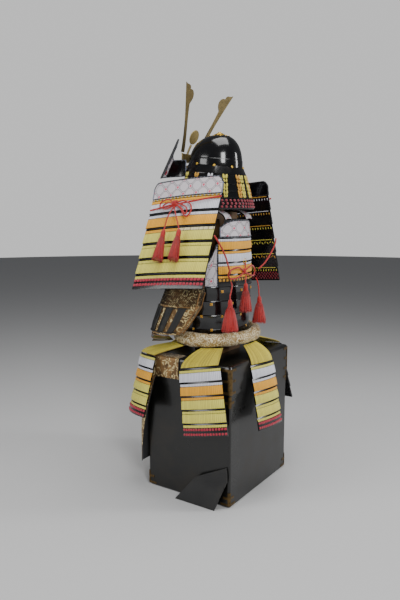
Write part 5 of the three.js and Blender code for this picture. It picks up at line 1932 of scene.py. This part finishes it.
@dataclass
class ThighApron:
    """The two halves of the thigh apron, laid over the lid's rim."""

    side_end: float = -36.0
    front_end: float = 35.0
    out: float = 3.4
    lid_inset: float = 52.0
    side_hem: float = 478.0
    front_hem: float = 100.0
    flare: float = 24.0

    def beside(self, run: Array, out: Array, z: Array) -> Array:
        """A point round the lid's front left corner."""
        radius = np.maximum(1.5, 9 + out)
        cx, cy = 243 + out - radius, -(200.5 + out - radius)
        straight = self.side_end - cy
        arc = math.pi / 2 * radius
        turn = np.clip((run - straight) / radius, 0, math.pi / 2)
        x = cx + radius * np.cos(turn) - np.maximum(run - straight - arc, 0)
        y = np.where(run < straight, self.side_end - run, cy - radius * np.sin(turn))
        return np.stack(np.broadcast_arrays(x, y, z), axis=-1)

    def reach(self, offset: Array) -> Array:
        """The whole run of the apron at one distance off the lid."""
        radius = np.maximum(1.5, 9 + offset)
        side_run = self.side_end + (200.5 + offset - radius)
        return side_run + math.pi / 2 * radius + (243 + offset - radius) - self.front_end

    def surface(self, s: Array, t: Array, lift: Array | float = 0.0) -> Array:
        """The apron, s from its front end to its side end and t from the lid's top to the hem."""
        lid_top = 560 + 0.5 + 1.2
        share = 1 - s
        hem = self.side_hem + (self.front_hem - self.side_hem) * ease(share, 0.3, 0.46)
        flat = np.clip(t / 0.12, -1, 1)
        drop = np.clip((t - 0.12) / 0.88, 0, 2)
        edge = np.minimum(1, drop * 12) * math.pi / 2
        shoulder = lid_top - 10 * (1 - np.cos(edge))
        z = np.where(
            t < 0.12, lid_top,
            np.where(drop * 12 < 1, shoulder, shoulder + (hem - shoulder) * (drop * 12 - 1) / 11))
        over = -4 + (self.out + 4) * np.sin(edge) + self.flare * ease(lid_top - z, 60, 340)
        offset = np.where(t < 0.12, -self.lid_inset + (self.lid_inset - 4) * flat, over)
        return self.beside(share * self.reach(offset), offset, z)

    def build(self) -> None:
        """Builds both halves with their folds and dark backing."""

        def below(t: Array) -> Array:
            """Grows from nothing at the lid's rim to full lower down."""
            return np.clip((t - 0.2) * 3, 0, 1)

        def folds(s: Array, t: Array) -> Array:
            """How far the cloth stands in or out at s and t."""
            wave = 2.4 * np.sin(31 * s + 1.5 * np.sin(3 * t)) + 1.6 * np.sin(57 * s + 2.0 * t + 1.0)
            return np.maximum(wave, -0.8) * below(t) * (0.6 + 0.4 * np.sin(5 * t + 8 * s) ** 2)

        rows = np.concatenate(
            [np.linspace(0, 0.12, 6), np.linspace(0.12, 0.2, 14)[1:], np.linspace(0.2, 1, 34)[1:]])
        columns = np.concatenate(
            [np.linspace(0, 0.5, 44), np.linspace(0.5, 0.62, 34)[1:], np.linspace(0.62, 1, 30)[1:]])
        for name, mirror in SIDES:
            draft = Draft()
            draft.wall(
                self.surface, columns, level_rows(rows), 2.4, (400, 430), relief=folds, back=1)
            made = draft.piece(f"thigh_apron_{name}_brocade", [SLEEVE_BROWN, LINING], mirror, crease=75)
            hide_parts(f"thigh_apron_{name}")


# ---- cords -------------------------------------------------------------------------------------------


@dataclass
class TiedCords:
    """The red cords: the bow on the back, the ties to the guards, and every tassel."""

    red: Finish = RED_BRAID

    def cord(
            self, name: str, path: Array, diameter: float, far_end: str, nodes: Sequence[str],
            pieces: Sequence[bpy.types.Object] = (), lay: str = "hanging") -> bpy.types.Object:
        """One round braid along a path.

        Args:
            name: The piece's name.
            path: The centre line in mm.
            diameter: The braid's diameter in mm.
            far_end: What it ends in; not used.
            nodes: The solids that it stands for.
            pieces: What hangs on it.
            lay: How it lies; not used.

        Returns:
            The cord.
        """
        draft = Draft()
        run = np.concatenate([[0], np.cumsum(np.linalg.norm(np.diff(path, axis=0), axis=1))])
        draft.tube(path, diameter / 2, 10)
        made = draft.piece(name, [self.red], crease=60)
        if nodes:
            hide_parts(*nodes)
        list(pieces)
        return made

    def tassel(
            self, name: str, top: Array, axis: Array, length: float, spread: float, seed: int,
            mirror: bool = False) -> bpy.types.Object:
        """A tassel: a bound head, and strands of fringe that fan out unevenly.

        Args:
            name: The piece's name.
            top: Its top in mm.
            axis: The way it hangs.
            length: Its length.
            spread: Its radius at the foot.
            seed: For its own unevenness.
            mirror: Whether it goes to the other side.

        Returns:
            The tassel.
        """
        chance = np.random.default_rng(seed)
        forward = unit(np.asarray(axis, float))
        side = unit(np.cross(forward, [0.3, 1.0, 0.2]))
        other = np.cross(forward, side)
        draft = Draft()
        head = [
            (0, 3.5), (0.02 * length, 6.5), (0.07 * length, 8.5), (0.14 * length, 9.5), (0.2 * length, 8.6),
            (0.225 * length, 7.2), (0.25 * length, 8.2)]
        draft.spun(top, forward, head, 16, 0)
        for at in (0.19, 0.215, 0.24):
            turn = np.linspace(0, 2 * np.pi, 18, endpoint=False)
            ring = np.asarray(top) + forward * at * length + 8.3 * (
                np.cos(turn)[:, None] * side + np.sin(turn)[:, None] * other)
            draft.tube(ring, 1.6, 6, 0, closed=True)
        phases = chance.uniform(0, 6.28, 4)

        def flute(turn: Array, along: Array) -> Array:
            """How far the fringe stands out, uneven round the tassel."""
            waves = 1.6 * np.cos(17 * turn + phases[0] + along * 0.02)
            waves = waves + 1.1 * np.cos(
                29 * turn + phases[1] - along * 0.03) + 2.0 * np.cos(5 * turn + phases[2])
            return np.clip(along / length - 0.25, 0, 1) * waves

        body = [
            (0.24 * length, 7.0), (0.32 * length, 0.42 * spread), (0.45 * length, 0.62 * spread),
            (0.6 * length, 0.76 * spread), (0.75 * length, 0.85 * spread), (0.88 * length, 0.9 * spread),
            (0.93 * length, 0.86 * spread), (0.94 * length, 0.5 * spread)]
        draft.spun(top, forward, body, 72, 1, ripple=flute)
        for _ in range(230):
            turn = chance.uniform(0, 2 * np.pi)
            fan = spread * math.sqrt(chance.uniform(0.45, 1.0))
            reach = length * chance.uniform(0.9, 1.0)
            way = math.cos(turn) * side + math.sin(turn) * other
            across = -math.sin(turn) * side + math.cos(turn) * other
            sway = chance.normal(0, 0.06) * spread
            path = []
            for u in np.linspace(0.22, 1, 7):
                out = 7.0 + (fan - 7.0) * min(1.0, ((u - 0.22) / 0.78) ** 0.62)
                path.append(
                    np.asarray(top) + forward * reach * u + way * out + across * sway * (u - 0.22) ** 2 * 3)
            draft.tube(np.array(path), np.linspace(0.9, 0.65, 7), 3, 1)
        made = draft.piece(name, [self.red, RED_FRINGE], mirror, crease=60)
        return made

    def back_bow(self) -> None:
        """The bow at the small of the back with its three tassels and its two ties."""
        x, y, z = 14.0, 124.0, 896.0
        knot = Draft()
        knot.spun(
            (x, y, z - 11), (0, 0, 1), [(0, 3), (3, 5.6), (8, 6.6), (14, 6.6), (19, 5.6), (22, 3)], 20)
        for k in range(4):
            turn = np.linspace(0, 2 * np.pi, 20, endpoint=False)
            height = z - 7 + 4.6 * k
            ring = np.stack(
                [x + 6.0 * np.cos(turn), y + 6.0 * np.sin(turn), height + 1.6 * np.sin(turn + k)], axis=-1)
            knot.tube(ring, 2.4, 8, closed=True)
        body = knot.piece("back_bow_knot", [self.red])
        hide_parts("agemaki_knot")
        for name, side in (("left", 1), ("right", -1)):
            reach, loop_y, loop_z = 106.0, 113.0, 890.0
            path = smooth_path(
                [
                    (x + side * 9, y, z + 5), (x + side * 0.5 * reach, y + 2, z + 20),
                    (x + side * 0.86 * reach, loop_y + 3, loop_z + 17), (x + side * reach, loop_y, loop_z),
                    (x + side * 0.86 * reach, loop_y + 3, loop_z - 17),
                    (x + side * 0.5 * reach, y + 2, z - 20), (x + side * 9, y, z - 5)],
                61)
            self.cord(f"back_bow_loop_{name}", path, 6.3, "knot", [f"agemaki_loop_{name}"])
        down = np.array([0.0, 0.0, -1.0])
        hang = (
            (
                "left",
                [(112, 120, 862), (124, 132, 850), (146, 142, 832), (158, 144, 812), (160, 146, 798)], 128,
                33, 11),
            ("middle", [(14, 131, 880), (24, 138, 872), (38, 143, 862), (46, 149, 850)], 116, 26, 12),
            (
                "right",
                [(-86, 122, 862), (-84, 131, 848), (-80, 139, 822), (-77, 142, 802), (-76, 145, 784)], 114,
                29, 13))
        for name, route, length, spread, seed in hang:
            path = smooth_path(route, 24)
            tassel = self.tassel(f"back_tassel_{name}", path[-1] - down * 3, down, length, spread, seed)
            path = np.concatenate([path, path[-1] + down * np.linspace(4, 0.4 * length, 10)[:, None]])
            self.cord(f"back_tassel_cord_{name}", path, 5.4, "knot", [f"agemaki_tassel_{name}"], [tassel])
        ties = (
            (
                "left",
                [(127, 126, 897), (156, 135, 926), (192, 142, 970), (228, 140, 1014), (252, 132, 1046)]),
            (
                "right",
                [(-98, 128, 898), (-138, 140, 926), (-178, 148, 968), (-200, 151, 998), (-215, 147, 1020)]))
        for name, route in ties:
            self.cord(
                f"back_tie_{name}", smooth_path(route, 40), 6.3, "object", [f"agemaki_cord_{name}"],
                lay="taut")
        ring = Draft()
        turn = np.linspace(0, 2 * np.pi, 24, endpoint=False)
        ring.tube(
            np.stack([10 * np.cos(turn), 117 + 0 * turn, 936 + 10 * np.sin(turn)], -1), 2.0, 8, closed=True)
        ring.spun(
            (0, 108, 952), (0, 1, 0.0), [(0, 13), (3, 13), (5, 11), (6, 7), (8, 4)], 24, ripple=lambda a,
            d: 1.8 * np.cos(6 * a))
        ring.piece("back_ring_fitting", [GILT], crease=35)
        self.cord(
            "back_hanging_cord",
            smooth_path([(0, 120, 930), (6, 124, 918), (12, 126, 908), (14, 128, 903)], 14), 5.0, "knot",
            [], lay="taut")

    def guard_bow(self, guard: ShoulderGuard) -> None:
        """The cord along the head of a shoulder guard, its bow and its two tassels."""
        flip = np.array([-1.0, 1.0, 1.0]) if guard.mirror else np.ones(3)

        def at(across: float, down: float, lift: float) -> Array:
            """A point over the guard's face, in mm across, down and out."""
            t = down / 388
            return guard.face(np.array(0.5 + across / (320 - 4 * t)), np.array(down / guard.length), lift)

        side = guard.side
        path = smooth_path(
            [
                at(166, 16, 8), at(110, 24, 11), at(50, 32, 12), at(-26, 40, 14), at(-90, 46, 12),
                at(-154, 50, 9)],
            60) * flip
        self.cord(f"sode_tie_{side}", path, 6.6, "object", [f"sode_bow_{side}"], lay="taut")
        knot = Draft()
        centre = at(-26, 40, 17)
        normal = unit(
            guard.face(np.array(0.5), np.array(0.5), 1.0) - guard.face(np.array(0.5), np.array(0.5), 0.0))
        knot.spun(centre - 8 * normal, normal, [(0, 6), (3, 9), (8, 10.5), (12, 9), (14, 5)], 20)
        for tilt in (-7.0, 0.0, 7.0):
            lap = [
                at(-26 + tilt, 28, 20), at(-26 + tilt, 36, 26), at(-26 + tilt, 46, 26),
                at(-26 + tilt, 54, 20)]
            knot.tube(smooth_path(lap, 12), 3.0, 8)
        loops = (
            [(-30, 38), (-60, 20), (-94, 24), (-102, 40), (-86, 52), (-56, 48), (-30, 42)],
            [(-30, 42), (-58, 34), (-84, 40), (-80, 56), (-58, 60), (-30, 46)],
            [(-22, 38), (10, 30), (44, 48), (56, 76), (46, 98), (26, 94), (6, 66), (-20, 42)],
            [(-22, 42), (0, 44), (30, 62), (38, 84), (26, 86), (4, 60), (-22, 46)])
        for k, loop in enumerate(loops):
            lift = [19 + (3 * math.sin(i * 1.7 + k)) for i in range(len(loop))]
            knot.tube(smooth_path([at(a, d, h) for (a, d), h in zip(loop, lift)], 48), 2.9, 8)
        knot.piece(f"sode_bow_knot_{side}", [self.red], guard.mirror)
        down = unit(
            guard.face(np.array(0.5), np.array(0.6), 0.0) - guard.face(np.array(0.5), np.array(0.4), 0.0))
        first = None
        for k, points in enumerate(
                (
                    [(-26, 54, 22), (-40, 100, 28), (-43, 160, 31)],
                    [(-26, 54, 22), (0, 104, 28), (29, 162, 31)])):
            path = smooth_path([at(*p) for p in points], 24)
            tassel = self.tassel(
                f"sode_tassel_{k}_{side}", path[-1] - down * 3, down, 130, 21, 20 + k, guard.mirror)
            path = np.concatenate([path, path[-1] + down * np.linspace(4, 52, 10)[:, None]])
            nodes = [f"sode_tassels_{side}"] if first is None else []
            first = self.cord(f"sode_tassel_cord_{k}_{side}", path * flip, 5.0, "knot", nodes, [tassel])

    def build(self, guards: Sequence[ShoulderGuard]) -> None:
        """Builds every cord."""
        self.back_bow()
        for guard in guards:
            self.guard_bow(guard)


# ---- studio ------------------------------------------------------------------------------------------


class Studio:
    """The camera, the floor and the lights."""

    def camera(self) -> None:
        """A camera behind and to the left of the figure, level with its chest."""
        data = bpy.data.cameras.new("camera")
        data.lens = 592 * 36 / 600
        camera = bpy.data.objects.new("camera", data)
        camera.location = (2.079, 1.294, 1.1235)
        pitch, yaw = math.radians(8.26), math.radians(213.84)
        look = Vector((math.cos(yaw) * math.cos(pitch), math.sin(yaw) * math.cos(pitch), -math.sin(pitch)))
        camera.rotation_euler = look.to_track_quat("-Z", "Y").to_euler()
        bpy.context.scene.collection.objects.link(camera)
        bpy.context.scene.camera = camera

    def floor(self) -> None:
        """A wide disc of pale paper."""
        turn = np.linspace(0, 2 * np.pi, 96, endpoint=False)
        mesh = bpy.data.meshes.new("floor")
        mesh.from_pydata([(14 * math.cos(a), 14 * math.sin(a), 0.0) for a in turn], [], [tuple(range(96))])
        mesh.materials.append(PAPER.material())
        floor = bpy.data.objects.new("floor", mesh)
        bpy.context.scene.collection.objects.link(floor)
        floor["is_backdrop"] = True

    def light(
            self, name: str, place: Sequence[float], aim: Sequence[float], size: tuple[float, float],
            power: float) -> None:
        """One soft rectangular light."""
        data = bpy.data.lights.new(name, "AREA")
        data.shape = "RECTANGLE"
        data.size, data.size_y = size
        data.energy = power
        lamp = bpy.data.objects.new(name, data)
        lamp.location = place
        lamp.rotation_euler = (Vector(aim) - Vector(place)).to_track_quat("-Z", "Y").to_euler()
        bpy.context.scene.collection.objects.link(lamp)

    def build(self) -> None:
        """Sets up the floor, the lights and a pale surround that the lacquer sees darker."""
        self.floor()
        middle = (0.0, 0.0, 0.9)
        self.light("key softbox", (2.3, 2.4, 2.3), middle, (0.9, 1.4), 62)
        self.light("tall strip", (-1.5, 2.6, 1.5), middle, (0.45, 1.9), 38)
        self.light("side fill", (2.8, -1.6, 1.6), middle, (1.4, 1.8), 40)
        self.light("top light", (0.2, 0.3, 3.2), middle, (1.6, 1.6), 40)
        world = bpy.data.worlds.new("studio")
        bpy.context.scene.world = world
        world.use_nodes = True
        tree = world.node_tree
        tree.nodes.clear()
        seen = add_node(tree, "ShaderNodeBackground", {"Color": linear("#dcdcdc"), "Strength": 1.0})
        lit = add_node(tree, "ShaderNodeBackground", {"Color": linear("#e6e8ec"), "Strength": 0.15})
        path = add_node(tree, "ShaderNodeLightPath")
        mix = add_node(tree, "ShaderNodeMixShader", {0: path.outputs["Is Camera Ray"], 1: lit, 2: seen})
        add_node(tree, "ShaderNodeOutputWorld", {"Surface": mix})


def corners(box: tuple[Vector, Vector]) -> list[list[float]]:
    """A box's two corners as plain lists."""
    return [list(map(float, corner)) for corner in box]


def main() -> None:
    """Builds the armour, piece by piece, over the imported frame."""
    logging.basicConfig(level=logging.INFO)
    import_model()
    packed = corners(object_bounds())
    studio = Studio()
    studio.camera()
    guards = [
        ShoulderGuard("left", 160, -57, 1189, 27.2, 388, 68),
        ShoulderGuard("right", 190, -38, 1189, 9.2, 370, 56)]
    TiedCords().build(guards)
    ArmourChest().build()
    Cuirass().build()
    WaistRoll().build()
    Skirt().build()
    for guard in guards:
        guard.build()
    Helmet().build()
    for side in ("left", "right"):
        Arm(side).build()
    ThighApron().build()
    studio.build()
    {"packed": packed, "visual": corners(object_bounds())}


if __name__ == "__main__":
    main()
